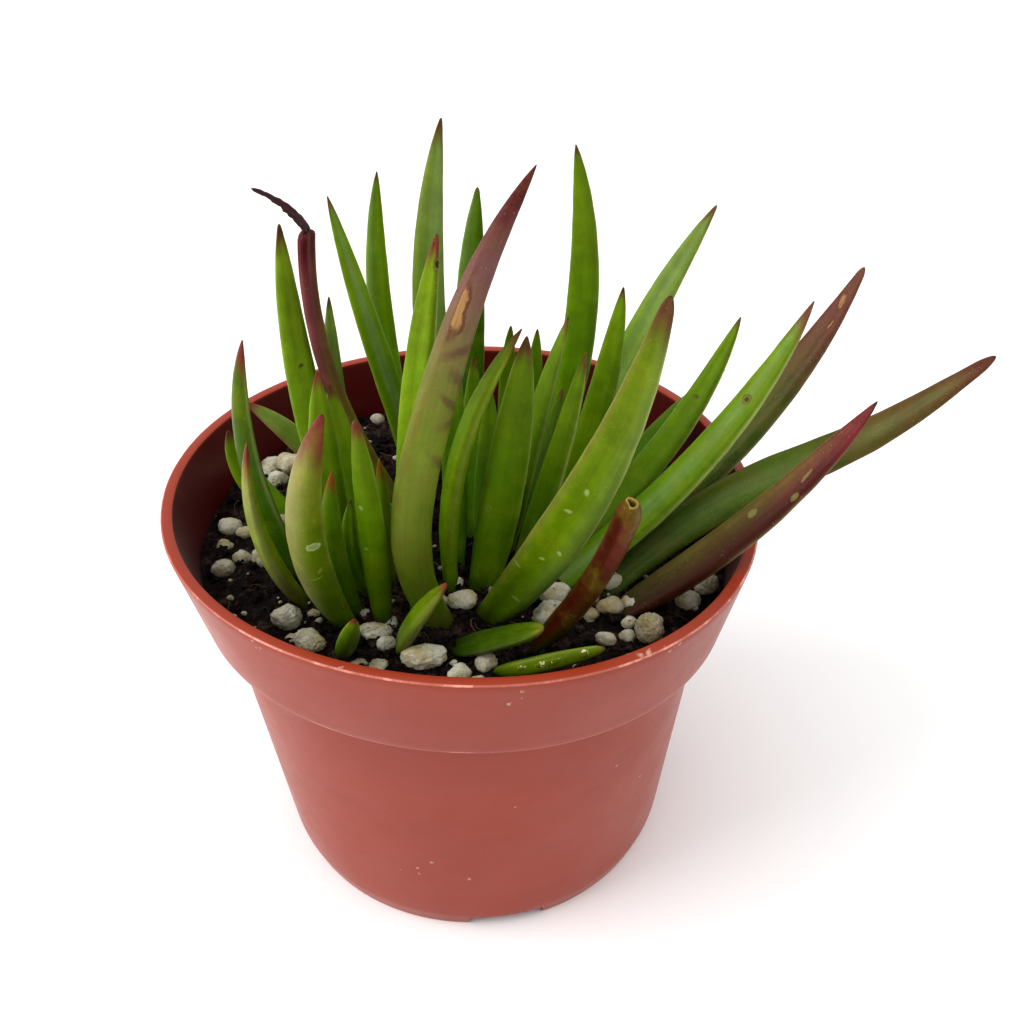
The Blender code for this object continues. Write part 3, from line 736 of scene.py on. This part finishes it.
def leaf_material(name, family):
    warm = family in ("bronze", "red", "withered", "olive")
    sh = Shader(name)
    base = sh.attribute("paint", "Color")
    leaf = sh.attribute("leaf")
    streaks = sh.noise(1.0, 3.0, 0.6, sh.vector("MULTIPLY", leaf, (1.6, 0.10, 0.05)))
    mottle = sh.noise(300.0, 4.0, 0.65)
    cloud = sh.noise(70.0, 2.0, 0.5)
    tone = sh.math("ADD", sh.span(streaks, 0.25, 0.75, -0.08, 0.08), sh.span(mottle, 0.3, 0.7, 0.90, 1.12))
    tone = sh.math("ADD", tone, sh.span(cloud, 0.3, 0.7, -0.08, 0.08))
    colour = sh.scale_colour(base, tone)
    if warm:
        patch = sh.span(sh.noise(150.0, 5.0, 0.7), 0.44, 0.58)
        other = srgb(104, 78, 44) if family in ("bronze", "olive") else srgb(62, 26, 14)
        colour = sh.mix(sh.times(patch, 0.3), colour, other)
    else:
        yellow = sh.span(sh.noise(120.0, 3.0, 0.6), 0.45, 0.7, 0.0, 0.22)
        colour = sh.mix(yellow, colour, srgb(138, 146, 24))
    dots = sh.span(sh.cells(1500.0), 0.10, 0.26, 1.0, 0.0)
    chosen = sh.span(sh.noise(240.0, 3.0), 0.46, 0.62, 0.0, 0.22)
    colour = sh.mix(sh.times(dots, chosen), colour, srgb(176, 184, 96))
    height = sh.times(mottle, 0.12)
    moved = sh.shaken(leaf, 650.0, 0.6, (0.8, 0.8, 0.0))
    ragged = sh.span(mottle, 0.3, 0.7, -0.2, 0.2)
    side, marks = MARKS.get(name, (FACE, []))
    for kind, along, across, long, wide, turn in marks:
        inner, rim, strength, rise = MARK_LOOKS[kind]
        node = sh.add("ShaderNodeMapping", vector_type="TEXTURE")
        place = sh.fill(node, "Vector", Vector=moved, Location=(across, along, side),
                        Rotation=(0, 0, math.radians(turn)), Scale=(wide, long, 8.0))
        far = sh.math("ADD", sh.vector("LENGTH", place), ragged)
        inner, rim = srgb(*inner), srgb(*rim)
        shade = sh.mix(sh.span(far, 0.45, 0.75), inner, rim)
        cover = sh.span(far, 1.15, 0.85, 0.0, strength)
        if kind == "ring":
            cover = sh.times(cover, sh.span(far, 0.4, 0.8, 0.3, 1.0))
        if kind == "blotch":
            cover = sh.span(far, 1.4, 0.2, 0.0, strength)
        if kind == "scab":
            cover = sh.times(cover, sh.span(streaks, 0.36, 0.56, 0.45, 1.0))
        if kind == "hole":
            shade = sh.mix(sh.span(far, 0.35, 0.55), inner, rim)
            shade = sh.mix(sh.span(far, 0.8, 0.95), shade, srgb(60, 68, 20))
        if kind == "sand":
            cover = sh.times(cover, sh.span(sh.noise(1500.0, 2.0, 0.6), 0.54, 0.60))
        colour = sh.mix(cover, colour, shade)
        if rise:
            height = sh.math("ADD", height, sh.times(sh.span(far, 1.1, 0.5), rise))
    fine = sh.bump(sh.noise(2600.0, 3.0), 0.00003)
    lines = sh.bump(streaks, 0.00008, 0.6, fine)
    normal = sh.bump(height, 0.001, 1.0, lines)
    rough = sh.span(mottle, 0.3, 0.7, 0.36, 0.50)
    glow = (1.0, 0.5, 0.2) if warm else (0.8, 1.0, 0.1)
    gloss = (1.0, 0.80, 0.76) if warm else (0.85, 1.0, 0.38)
    return sh.finish(colour, rough, normal, Subsurface_Weight=0.15, Subsurface_Radius=glow,
                     Subsurface_Scale=0.0012, Specular_IOR_Level=0.25, Specular_Tint=(*gloss, 1.0))


# ---- Pot ----
def out_of_round(x, y, z):
    """Where the frame's pressed pot puts a point of the round one, in mm."""
    share = z / POT_HEIGHT
    azimuth = math.atan2(y, x)
    swell = 0.0
    for count, (height, bulge) in OUT_OF_ROUND.items():
        swell += height * math.cos(count * (azimuth - math.radians(bulge)))
    return x * (1 + share * swell) + share * RIM_SHIFT, y * (1 + share * swell), z


def fine_line(start, end, parts):
    return [(start[0] + (end[0] - start[0]) * i / parts, start[1] + (end[1] - start[1]) * i / parts)
            for i in range(parts)]


def beside(radius, height, *steps):
    """Points given as steps (outward, up) from a corner of the profile."""
    return [(radius + outward, height + up) for outward, up in steps]


def pot_profile():
    ledge = COLLAR_BOTTOM + WALL
    lip_inner = RIM_RADIUS - LIP_WIDTH
    foot_inner = FOOT_RADIUS - FOOT_RING
    collar = COLLAR_RADIUS, COLLAR_BOTTOM
    body = BODY_RADIUS, COLLAR_BOTTOM
    band = FOOT_BAND_RADIUS, FOOT_BAND
    outer = beside(RIM_RADIUS, POT_HEIGHT, (-1.5, 0), (-0.55, 0), (-0.25, -0.08), (-0.1, -0.28))
    outer += fine_line(*beside(RIM_RADIUS, POT_HEIGHT, (-0.06, -0.55)), *beside(*collar, (0.1, 0.5)), 12)
    outer += beside(*collar, (0.1, 0.5), (-0.05, 0.15), (-0.4, 0))
    outer += beside(*body, (0.5, 0), (0.1, -0.15), (-0.05, -0.6))
    outer += fine_line(*beside(*body, (-0.2, -1.4)), *beside(*band, (0.1, 0.5)), 24)
    outer += beside(*band, (0.06, 0.4), (-0.1, -0.4))
    outer += fine_line(*beside(*band, (-0.2, -0.8)), (FOOT_RADIUS, 0.4), 3)
    outer += beside(FOOT_RADIUS, 0, (0, 0.4), (-0.12, 0.12), (-0.4, 0))
    outer += [(foot_inner, 0), (foot_inner, FLOOR_BOTTOM)]
    outer += fine_line((foot_inner - 1, FLOOR_BOTTOM), (PAD_RADIUS, FLOOR_BOTTOM), 6)
    outer += [(PAD_RADIUS, FLOOR_BOTTOM), (PAD_RADIUS, 0.3), (PAD_RADIUS - 0.3, 0)]
    inner = [(FOOT_BAND_RADIUS - WALL, FLOOR_TOP)]
    inner += fine_line((FOOT_BAND_RADIUS - WALL, FLOOR_TOP + 1), (BODY_RADIUS - WALL, ledge - 0.3), 10)
    inner.append((BODY_RADIUS - WALL, ledge))
    inner += beside(COLLAR_RADIUS - WALL, ledge, (-0.3, 0), (0, 0.3))
    inner += fine_line(*beside(COLLAR_RADIUS - WALL, ledge, (0.1, 1)),
                       *beside(lip_inner, POT_HEIGHT, (-0.05, -0.6)), 10)
    inner += beside(lip_inner, POT_HEIGHT, (-0.04, -0.5), (0.06, -0.12), (0.3, -0.01))
    return outer, inner


def turned(profile):
    """Points of a turned profile, pressed out of round, in metres."""
    points = []
    for radius, height in profile:
        for cosine, sine in around(POT_STEPS):
            points.append([v * MM for v in out_of_round(radius * cosine, radius * sine, height)])
    return points


def pot_cutter():
    """The notches in the foot and the holes in the floor, as one object."""

    def place(turn, radius, height):
        return Matrix.Translation((*polar(radius * MM, turn), height * MM))

    cut = bmesh.new()
    size = Matrix.Diagonal((*(length * MM for length in NOTCH_SIZE), 1))
    for index in range(NOTCHES):
        turn = math.radians(NOTCH_AZIMUTH + 360 / NOTCHES * index)
        made = bmesh.ops.create_cube(cut, size=1.0)
        spot = place(turn, NOTCH_CIRCLE, 1) @ Matrix.Rotation(turn, 4, "Z") @ size
        bmesh.ops.transform(cut, verts=made["verts"], matrix=spot)
    for index in range(HOLES):
        made = bmesh.ops.create_cone(cut, cap_ends=True, segments=32, radius1=HOLE_RADIUS * MM,
                                     radius2=HOLE_RADIUS * MM, depth=6 * MM)
        spot = place(2 * math.pi * index / HOLES, HOLE_CIRCLE, 4)
        bmesh.ops.transform(cut, verts=made["verts"], matrix=spot)
    mesh = bpy.data.meshes.new("pot_cutter")
    cut.to_mesh(mesh)
    cut.free()
    return add_object("pot_cutter", mesh)


def build_pot():
    outer, inner = pot_profile()
    points = turned(outer) + [(0.0, 0.0, 0.0)]
    bottom = len(points) - 1
    points += turned(inner) + [(0.0, 0.0, FLOOR_TOP * MM)]
    floor = len(points) - 1
    outer_rings = [POT_STEPS * row for row in range(len(outer))]
    inner_rings = [bottom + 1 + POT_STEPS * row for row in range(len(inner))]
    faces = []
    for first, second in zip(outer_rings, outer_rings[1:]):
        faces += ring_faces(first, second, POT_STEPS, flip=True)
    for k in range(POT_STEPS):
        n = (k + 1) % POT_STEPS
        faces.append((outer_rings[-1] + k, bottom, outer_rings[-1] + n))
        faces.append((floor, inner_rings[0] + k, inner_rings[0] + n))
    for first, second in zip(inner_rings, inner_rings[1:] + [0]):
        faces += ring_faces(first, second, POT_STEPS, flip=True)
    obj = make_object("pot_fine", points, faces, pot_material())
    face_outward(obj.data)
    cutter = pot_cutter()
    mod = obj.modifiers.new("Cut", "BOOLEAN")
    mod.solver = "EXACT"
    mod.object = cutter
    depsgraph = bpy.context.evaluated_depsgraph_get()
    done = bpy.data.meshes.new_from_object(obj.evaluated_get(depsgraph))
    obj.modifiers.clear()
    obj.data = done
    bpy.data.objects.remove(cutter)
    done.shade_smooth()
    done.set_sharp_from_angle(angle=math.radians(40))
    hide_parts("pot")
    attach(obj, "root")


def scuff_places():
    """Places in metres and sizes in mm of the scuffs, scattered in their patches."""
    rng = random.Random(31)
    places = []
    for azimuth, height, spread, number, size in SCUFF_PATCHES:
        for _ in range(number):
            turn = math.radians(rng.gauss(azimuth, spread / 2))
            tall = min(POT_HEIGHT, height + rng.gauss(0, spread / 4))
            if tall > POT_HEIGHT - 0.5:
                radius = RIM_RADIUS - rng.uniform(0.3, 0.8 * LIP_WIDTH)
            elif tall > COLLAR_BOTTOM:
                rise = (tall - COLLAR_BOTTOM) / (POT_HEIGHT - COLLAR_BOTTOM)
                radius = COLLAR_RADIUS + rise * (RIM_RADIUS - COLLAR_RADIUS)
            else:
                rise = (tall - FOOT_BAND) / (COLLAR_BOTTOM - FOOT_BAND)
                radius = FOOT_BAND_RADIUS + rise * (BODY_RADIUS - FOOT_BAND_RADIUS)
            spot = out_of_round(*polar(radius, turn), tall)
            places.append((tuple(v * MM for v in spot), size * rng.uniform(0.6, 1.3)))
    return places


def pot_material():
    sh = Shader("pot_plastic")
    split = sh.add("ShaderNodeSeparateXYZ")
    sh.put(split.inputs[0], sh.place)
    height = sh.times(split.outputs[2], 1000.0)
    normal_at = sh.add("ShaderNodeTexCoord").outputs["Normal"]
    outward = sh.vector("NORMALIZE", sh.vector("MULTIPLY", sh.place, (1.0, 1.0, 0.0)))
    facing = sh.vector("DOT_PRODUCT", normal_at, outward)
    rise = sh.add("ShaderNodeSeparateXYZ")
    sh.put(rise.inputs[0], normal_at)
    cloud = sh.noise(18.0, 3.0, 0.5)
    flow = sh.noise(1.0, 4.0, 0.6, sh.vector("MULTIPLY", sh.place, (30.0, 30.0, 220.0)))
    base = sh.mix(sh.span(cloud, 0.3, 0.7), POT_DARK, POT_LIGHT)
    base = sh.scale_colour(base, sh.span(flow, 0.3, 0.7, 0.97, 1.03))
    # Painted shade: every inward-facing part of the wall below the rim takes the darker inside colour.
    inside = sh.times(sh.span(facing, -0.1, -0.5), sh.span(height, POT_HEIGHT, POT_HEIGHT - 0.8))
    base = sh.mix(inside, base, POT_INSIDE_SHADE)
    # Painted shade: the up-facing top of the lip takes the deeper lip colour.
    lip_shade = sh.times(sh.span(height, POT_HEIGHT - 0.3, POT_HEIGHT - 0.1), sh.span(rise.outputs[2], 0.4, 0.8))
    base = sh.mix(lip_shade, base, POT_LIP_SHADE)
    # A pale line on the rim's outer bevel, partly real wear and partly a painted highlight, and a painted
    # highlight along the collar's lower edge; noise breaks both up.
    edge = sh.times(sh.span(rise.outputs[2], 0.15, 0.5), sh.span(facing, 0.25, 0.55))
    edge = sh.times(edge, sh.span(height, POT_HEIGHT - 1.5, POT_HEIGHT - 0.8))
    ledge = sh.times(sh.span(height, COLLAR_BOTTOM - 0.1, COLLAR_BOTTOM + 0.1),
                     sh.span(height, COLLAR_BOTTOM + 0.8, COLLAR_BOTTOM + 0.5))
    ledge = sh.times(ledge, sh.span(facing, 0.5, 0.8, 0.0, 0.35))
    wear_and_highlight = sh.span(sh.noise(110.0, 5.0, 0.75), 0.46, 0.64, 0.22, 0.85)
    base = sh.mix(sh.times(sh.math("MAXIMUM", edge, ledge), wear_and_highlight), base, srgb(236, 170, 150))
    speck = sh.span(sh.cells(150.0), 0.025, 0.05, 1.0, 0.0)
    chosen = sh.span(sh.noise(60.0, 2.0), 0.62, 0.68)
    base = sh.mix(sh.times(sh.times(speck, chosen), 0.6), base, srgb(225, 190, 175))
    moved = sh.shaken(sh.place, 1400.0, 0.7, (0.0014, 0.0014, 0.0014))
    scuff = 0.0
    for spot, size in scuff_places():
        far = sh.vector("DISTANCE", moved, spot)
        scuff = sh.math("MAXIMUM", scuff, sh.span(far, 0.75 * size * MM, 0.2 * size * MM))
    base = sh.mix(sh.times(scuff, 0.5), base, srgb(232, 190, 172))
    rough = sh.span(sh.noise(45.0, 5.0, 0.65), 0.3, 0.7, 0.34, 0.46)
    fine = sh.bump(sh.noise(1800.0, 3.0), 0.00002)
    normal = sh.bump(flow, 0.00008, 0.5, fine)
    normal = sh.bump(scuff, 0.0001, 1.0, normal)
    return sh.finish(base, rough, normal, Specular_IOR_Level=0.5, Sheen_Weight=0.16, Sheen_Roughness=0.3,
                     Sheen_Tint=(1.0, 0.80, 0.74, 1.0))


# ---- Soil, crumbs, fibres, grains, stems ----
def soil_edge(turn):
    """Distance from the axis to the pot's inner wall at the soil, in mm."""
    ledge = COLLAR_BOTTOM + WALL
    rise = (SOIL_RIM - ledge) / (POT_HEIGHT - ledge)
    wall = COLLAR_RADIUS - WALL
    radius = wall + rise * (RIM_RADIUS - LIP_WIDTH - wall) - 0.3
    x, y, _ = out_of_round(*polar(radius, turn), SOIL_RIM)
    return math.hypot(x, y)


def soil_height(x, y):
    """Height of the soil's surface at x, y, all in mm."""
    place = Vector((x, y, 0.0))
    big = noise.noise(place / 14.0)
    middle = noise.noise(place / 4.5 + Vector((7, 3, 1)))
    small = noise.noise(place / 1.6 + Vector((1, 9, 4)))
    edge = soil_edge(math.atan2(y, x))
    drop = 1.5 * float(smooth_step(edge - 9, edge, math.hypot(x, y)))
    lumps = 0.6 * big + 1.1 * middle + 0.6 * abs(small)
    return SOIL_TOP - drop + max(0.12, 0.95 + lumps)


def on_soil(x, y, lift):
    return np.array([x, y, soil_height(x, y) + lift])


def soil_material():
    sh = Shader("soil_peat")
    grain = sh.noise(900.0, 5.0, 0.7)
    patch = sh.noise(220.0, 4.0, 0.6)
    colour = sh.mix(sh.span(grain, 0.38, 0.68), (0.0012, 0.0008, 0.0008), (0.022, 0.012, 0.010))
    light = sh.times(sh.span(patch, 0.48, 0.62), sh.span(grain, 0.40, 0.60, 0.15, 1.0))
    colour = sh.mix(light, colour, (0.078, 0.043, 0.034))
    normal = sh.bump(grain, 0.0007, 1.0, sh.bump(patch, 0.001))
    return sh.finish(colour, sh.span(patch, 0.3, 0.7, 0.8, 1.0), normal, Specular_IOR_Level=0.12)


def fibre_material():
    sh = Shader("soil_fibre")
    tone = sh.noise(60.0, 2.0)
    colour = sh.mix(sh.span(tone, 0.40, 0.66), (0.02, 0.011, 0.007), (0.14, 0.09, 0.05))
    return sh.finish(colour, sh.span(tone, 0.3, 0.7, 0.7, 0.95), sh.bump(sh.noise(1500.0), 0.0001))


def grain_material():
    sh = Shader("grain_mineral")
    cloud = sh.noise(260.0, 4.0, 0.6)
    wide = sh.noise(90.0, 2.0, 0.5)
    fine = sh.noise(1500.0, 5.0, 0.7)
    colour = sh.mix(sh.span(cloud, 0.42, 0.66), srgb(214, 210, 192), srgb(188, 175, 132))
    colour = sh.mix(sh.span(wide, 0.48, 0.64, 0.0, 0.65), colour, srgb(158, 138, 94))
    colour = sh.scale_colour(colour, sh.span(fine, 0.3, 0.65, 0.78, 1.02))
    colour = sh.scale_colour(colour, sh.span(sh.noise(55.0, 1.0), 0.35, 0.6, 0.72, 1.03))
    pits = sh.times(sh.span(sh.cells(900.0), 0.12, 0.28, 1.0, 0.0),
                    sh.span(sh.noise(330.0, 2.0), 0.56, 0.64))
    colour = sh.mix(sh.times(pits, 0.5), colour, srgb(120, 106, 76))
    normal = sh.bump(fine, 0.0003, 1.0, sh.bump(pits, -0.0003))
    return sh.finish(colour, sh.span(fine, 0.3, 0.7, 0.8, 1.0), normal, Specular_IOR_Level=0.25)


def build_soil(node, material):
    edges = [soil_edge(2 * math.pi * k / SOIL_STEPS) for k in range(SOIL_STEPS)]
    points = [(0.0, 0.0, soil_height(0, 0) * MM)]
    for row in range(1, SOIL_RINGS + 1):
        for edge, (cosine, sine) in zip(edges, around(SOIL_STEPS)):
            x = edge * row / SOIL_RINGS * cosine
            y = edge * row / SOIL_RINGS * sine
            points.append((x * MM, y * MM, soil_height(x, y) * MM))
    faces = [(0, 1 + k, 1 + (k + 1) % SOIL_STEPS) for k in range(SOIL_STEPS)]
    for row in range(SOIL_RINGS - 1):
        ring = 1 + row * SOIL_STEPS
        faces += ring_faces(ring, ring + SOIL_STEPS, SOIL_STEPS, flip=True)
    obj = make_object("soil_surface", points, faces, material)
    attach(obj, "root")
    node.data.materials[0] = material


def lump(level, size, turn, seed, rough):
    """Points and faces of one uneven lump round the origin, in mm."""
    ways, faces = ball(level)
    points = []
    for way in ways:
        swell = 1 + rough * noise.noise(way * 1.5 + Vector((seed, 0, 0)))
        swell += 0.5 * rough * noise.noise(way * 3.5 + Vector((0, seed, 0)))
        x = way.x * swell * size[0] / 2
        y = way.y * swell * size[1] / 2
        points.append((x * math.cos(turn) - y * math.sin(turn), x * math.sin(turn) + y * math.cos(turn),
                       way.z * swell * size[2] / 2))
    return np.array(points), faces


def pebble(level, size, turn, seed):
    """Points and faces of one rounded grain, of fused lobes with a few flats and pits, in mm."""
    rng = random.Random(seed)

    def any_way(middle=0, spread=1):
        return rng.gauss(0, 1), rng.gauss(0, 1), rng.gauss(middle, spread)

    lobes = [(Vector((0, 0, 0)), 1.0)]
    for _ in range(rng.randint(2, 4)):
        way = Vector(any_way(0, 0.5)).normalized()
        lobes.append((way * rng.uniform(0.5, 0.66), rng.uniform(0.68, 0.80)))
    flats = []
    for _ in range(rng.randint(0, 2)):
        flats.append((Vector(any_way()).normalized(), rng.uniform(0.8, 1.0)))
    dents = []
    for _ in range(rng.randint(3, 7)):
        x, y, z = any_way(0.4)
        dents.append((Vector((x, y, abs(z))).normalized(), rng.uniform(0.10, 0.24)))
    shift = Vector([rng.uniform(0, 50) for _ in range(3)])
    ways, faces = ball(level)
    points = []
    for way in ways:
        total = 0.0
        for centre, radius in lobes:
            dot = way.dot(centre)
            total += (dot + math.sqrt(radius ** 2 - centre.length_squared + dot ** 2)) ** LOBE_POWER
        far = total ** (1 / LOBE_POWER)
        cut = far ** -FLAT_POWER
        for flat, reach in flats:
            cut += (max(0.0, way.dot(flat)) / reach) ** FLAT_POWER
        far = cut ** (-1 / FLAT_POWER)
        far *= 1 + 0.10 * noise.noise(way * 2.2 + shift) + 0.08 * noise.noise(way * 6 + shift)
        far += 0.05 * abs(noise.noise(way * 11 + shift)) + 0.03 * noise.noise(way * 22 + shift)
        for dent, width in dents:
            gap = (way - dent).length / width
            if gap < 1:
                far -= 0.09 * (1 - gap * gap) ** 2
        points.append(way * far)
    points = np.array([point[:] for point in points])
    cosine, sine = math.cos(turn), math.sin(turn)
    points = points @ np.array([[cosine, sine, 0], [-sine, cosine, 0], [0, 0, 1]])
    span = points.max(axis=0) - points.min(axis=0)
    return (points - (points.max(axis=0) + points.min(axis=0)) / 2) / span * np.array(size), faces


def gather(name, pieces, material):
    """One object of many (points in mm, faces)."""
    points = []
    faces = []
    for part, part_faces in pieces:
        start = len(points)
        points.extend(part * MM)
        faces.extend(tuple(start + i for i in face) for face in part_faces)
    obj = make_object(name, points, faces, material)
    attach(obj, "root")
    return obj


def scatter_place(rng):
    """A place on the soil, in mm."""
    while True:
        turn = rng.uniform(0, 2 * math.pi)
        radius = SOIL_REACH * math.sqrt(rng.uniform(0.0, 1.0))
        if radius < soil_edge(turn) - 1.0:
            return polar(radius, turn)


def root_places(nodes, rng):
    """Places round the leaves' roots, in mm, where the soil is heaped."""
    for name in LEAVES:
        centre, across, _, width, _ = (column[0] for column in read_sections(nodes[name]))
        for _ in range(ROOT_CRUMBS):
            turn = rng.uniform(0, 2 * math.pi)
            side = np.array((-across[1], across[0]))
            out = across[:2] * 0.55 * width * math.cos(turn)
            yield (centre[:2] + out + side * 0.35 * width * math.sin(turn)) / MM


def build_crumbs(nodes, material):
    rng = random.Random(11)
    pieces = []
    roots = list(root_places(nodes, rng))
    for index in range(CRUMBS + len(roots)):
        x, y = scatter_place(rng) if index >= len(roots) else roots[index]
        size = 0.5 + 2.8 * rng.random() ** 3
        if index < len(roots):
            size = rng.uniform(1.0, 2.4)
        shape = (size, size * rng.uniform(0.5, 1.0), size * rng.uniform(0.4, 0.9))
        points, faces = lump(2 if size < 2.0 else 3, shape, rng.uniform(0, 6.28), index * 0.37, 0.8)
        pieces.append((points + on_soil(x, y, 0.15 * size), faces))
    half = len(pieces) // 2
    gather("soil_crumbs_fine", pieces[:half], material)
    gather("soil_crumbs_coarse", pieces[half:], material)


def build_fibres(material):
    rng = random.Random(23)
    pieces = []
    steps = 7
    sides = 5
    for _ in range(FIBRES):
        x, y = scatter_place(rng)
        turn = rng.uniform(0, 2 * math.pi)
        length = rng.uniform(2.5, 9.0)
        bend = rng.uniform(-1.6, 1.6)
        thick = rng.uniform(0.04, 0.12)
        points = []
        for i in range(steps):
            share = i / (steps - 1)
            way = turn + bend * (share - 0.5) * 2
            along = (share - 0.5) * length
            px = x + along * math.cos(way)
            py = y + along * math.sin(way)
            pz = soil_height(px, py) + 0.3 + 0.8 * math.sin(math.pi * share) * rng.random()
            size = thick * (0.5 + 0.5 * math.sin(math.pi * (0.1 + 0.8 * share)))
            for cosine, sine in around(sides):
                points.append((px - math.sin(way) * size * cosine, py + math.cos(way) * size * cosine,
                               pz + size * sine))
        pieces.append((np.array(points), tube_faces(steps, sides)))
    gather("soil_fibres", pieces, material)


def patch_grains(taken):
    """(x, y, size) of the loose grains: scattered in their patches, clear of each other."""
    rng = random.Random(5)
    for x, y, spread, number, size in GRAIN_PATCHES:
        placed = 0
        for _ in range(400):
            px = rng.gauss(x, spread * 0.6)
            py = rng.gauss(y, spread * 0.6)
            wide = size * rng.uniform(0.7, 1.2)
            inside = math.hypot(px, py) < soil_edge(math.atan2(py, px)) - 0.5 * wide
            clear = all(math.hypot(px - qx, py - qy) > 0.42 * (wide + other) for qx, qy, other in taken)
            if placed < number and inside and clear:
                taken.append((px, py, wide))
                placed += 1
    return taken


def build_grains(nodes, material):
    taken = []
    for index, name in enumerate(sorted(n for n in nodes if n.startswith("grain_"))):
        low, high = (np.array(corner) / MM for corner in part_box(name))
        points, faces = pebble(5, high - low, index * 1.3, 5 + index)
        gather(name + "_fine", [(points + (low + high) / 2, faces)], material)
        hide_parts(name)
        taken.append((*((low + high) / 2)[:2], (high - low)[:2].mean()))
    rng = random.Random(8)
    pieces = []
    for index, (x, y, size) in enumerate(patch_grains(list(taken))[len(taken):]):
        shape = (size, size * rng.uniform(0.7, 0.95), size * rng.uniform(0.65, 0.9))
        points, faces = pebble(4, shape, rng.uniform(0, 6.28), 50 + index)
        pieces.append((points + on_soil(x, y, 0.25 * shape[2]), faces))
    gather("small_grains", pieces, material)
    dust = []
    for index in range(DUST):
        x, y = scatter_place(rng)
        size = rng.uniform(0.4, 1.6)
        shape = (size, size * 0.8, size * 0.8)
        points, faces = pebble(3 if size > 1.1 else 2, shape, rng.uniform(0, 6.28), 200 + index)
        dust.append((points + on_soil(x, y, 0.3 * size), faces))
    gather("grain_dust", dust, material)


def build_stem(name, material):
    low, high = (np.array(corner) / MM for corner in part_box(name))
    x, y = (low[:2] + high[:2]) / 2
    radius = (high[0] - low[0]) / 2
    rows = 26
    count = 24
    points = []
    for row in range(rows):
        share = row / (rows - 1)
        z = SOIL_TOP - 3 + (high[2] - SOIL_TOP + 3) * share
        size = radius * (1.0 - 0.45 * max(0.0, share - 0.75) * 4) * (1 + 0.06 * math.sin(share * 26))
        for cosine, sine in around(count):
            swell = 1 + 0.10 * noise.noise(Vector((3 * cosine, 3 * sine, z)))
            points.append((x + size * swell * cosine, y + size * swell * sine, z))
    obj = gather(name + "_fine", [(np.array(points), tube_faces(rows, count))], material)
    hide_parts(name)


def stem_material():
    sh = Shader("stem_bark")
    rings = sh.noise(1.0, 4.0, 0.6, sh.vector("MULTIPLY", sh.place, (250.0, 250.0, 1400.0)))
    colour = sh.mix(sh.span(rings, 0.35, 0.65), srgb(92, 70, 40), srgb(120, 118, 52))
    return sh.finish(colour, sh.span(rings, 0.3, 0.7, 0.6, 0.85), sh.bump(rings, 0.0003))


# ---- Stage ----
def build_stage():
    mesh = bpy.data.meshes.new("floor")
    size = 6.0
    corners = [(-size, -size, 0), (size, -size, 0), (size, size, 0), (-size, size, 0)]
    mesh.from_pydata(corners, [], [(0, 1, 2, 3)])
    floor = add_object("floor", mesh)
    sh = Shader("floor_white")
    mesh.materials.append(sh.finish((0.95, 0.955, 0.955), 0.7, Specular_IOR_Level=0.1))


def build_light(name, kind, power, way, place=(0, 0, 0), **settings):
    """A soft light that comes from the given way."""
    data = bpy.data.lights.new(name, kind)
    data.energy = power
    for key, value in settings.items():
        setattr(data, key, value)
    light = add_object(name, data)
    light.location = place
    light.rotation_euler = way.to_track_quat("Z", "Y").to_euler()


def build_window(name, place, size, power):
    """A square light turned towards the plant."""
    build_light(name, "AREA", power, Vector(place) - Vector((0, 0, 0.06)), place, size=size)


def build_sun(name, azimuth, height, angle, power):
    """A light from the given azimuth and height, both in degrees."""
    turn = math.radians(azimuth)
    rise = math.radians(height)
    way = Vector((math.cos(turn) * math.cos(rise), math.sin(turn) * math.cos(rise), math.sin(rise)))
    build_light(name, "SUN", power, way, angle=math.radians(angle))


def build_camera():
    yaw = math.radians(CAMERA_YAW)
    pitch = math.radians(CAMERA_PITCH)
    roll = math.radians(CAMERA_ROLL)
    forward = Vector((math.sin(yaw) * math.cos(pitch), math.cos(yaw) * math.cos(pitch), -math.sin(pitch)))
    right = Vector((math.cos(yaw), -math.sin(yaw), 0.0))
    up = right.cross(forward)
    right, up = right * math.cos(roll) + up * math.sin(roll), up * math.cos(roll) - right * math.sin(roll)
    data = bpy.data.cameras.new("camera")
    data.lens = CAMERA_LENS
    data.sensor_width = 36.0
    data.clip_start = 0.01
    camera = add_object("camera", data)
    turned_to = Matrix((right, up, -forward)).transposed().to_4x4()
    camera.matrix_world = Matrix.Translation(CAMERA_PLACE) @ turned_to
    bpy.context.scene.camera = camera


def build_world():
    world = bpy.data.worlds.new("studio")
    bpy.context.scene.world = world
    world.use_nodes = True
    sky = world.node_tree.nodes["Background"]
    sky.inputs["Color"].default_value = (1.0, 1.0, 1.0, 1.0)
    sky.inputs["Strength"].default_value = 0.80
    view = bpy.context.scene.view_settings
    view.view_transform = "Standard"
    view.exposure = 0.1
    view.gamma = 0.88


for old in list(bpy.data.objects):
    bpy.data.objects.remove(old)
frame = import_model()
nodes = frame["nodes"]

build_camera()
build_world()
build_stage()
build_window("window", (-0.95, -0.20, 0.75), 0.9, 9.6)
build_window("fill", (0.85, -0.10, 0.55), 0.9, 1.6)
build_sun("top", 215, 76, 80, 0.6)

build_pot()
soil = soil_material()
build_soil(nodes["soil"], soil)
build_crumbs(nodes, soil)
build_fibres(fibre_material())
build_grains(nodes, grain_material())
for number, (leaf, looks) in enumerate(LEAVES.items()):
    build_leaf(leaf, nodes[leaf], looks, number)
bark = stem_material()
for stem in [n for n in nodes if n.endswith("_stem")]:
    build_stem(stem, bark)
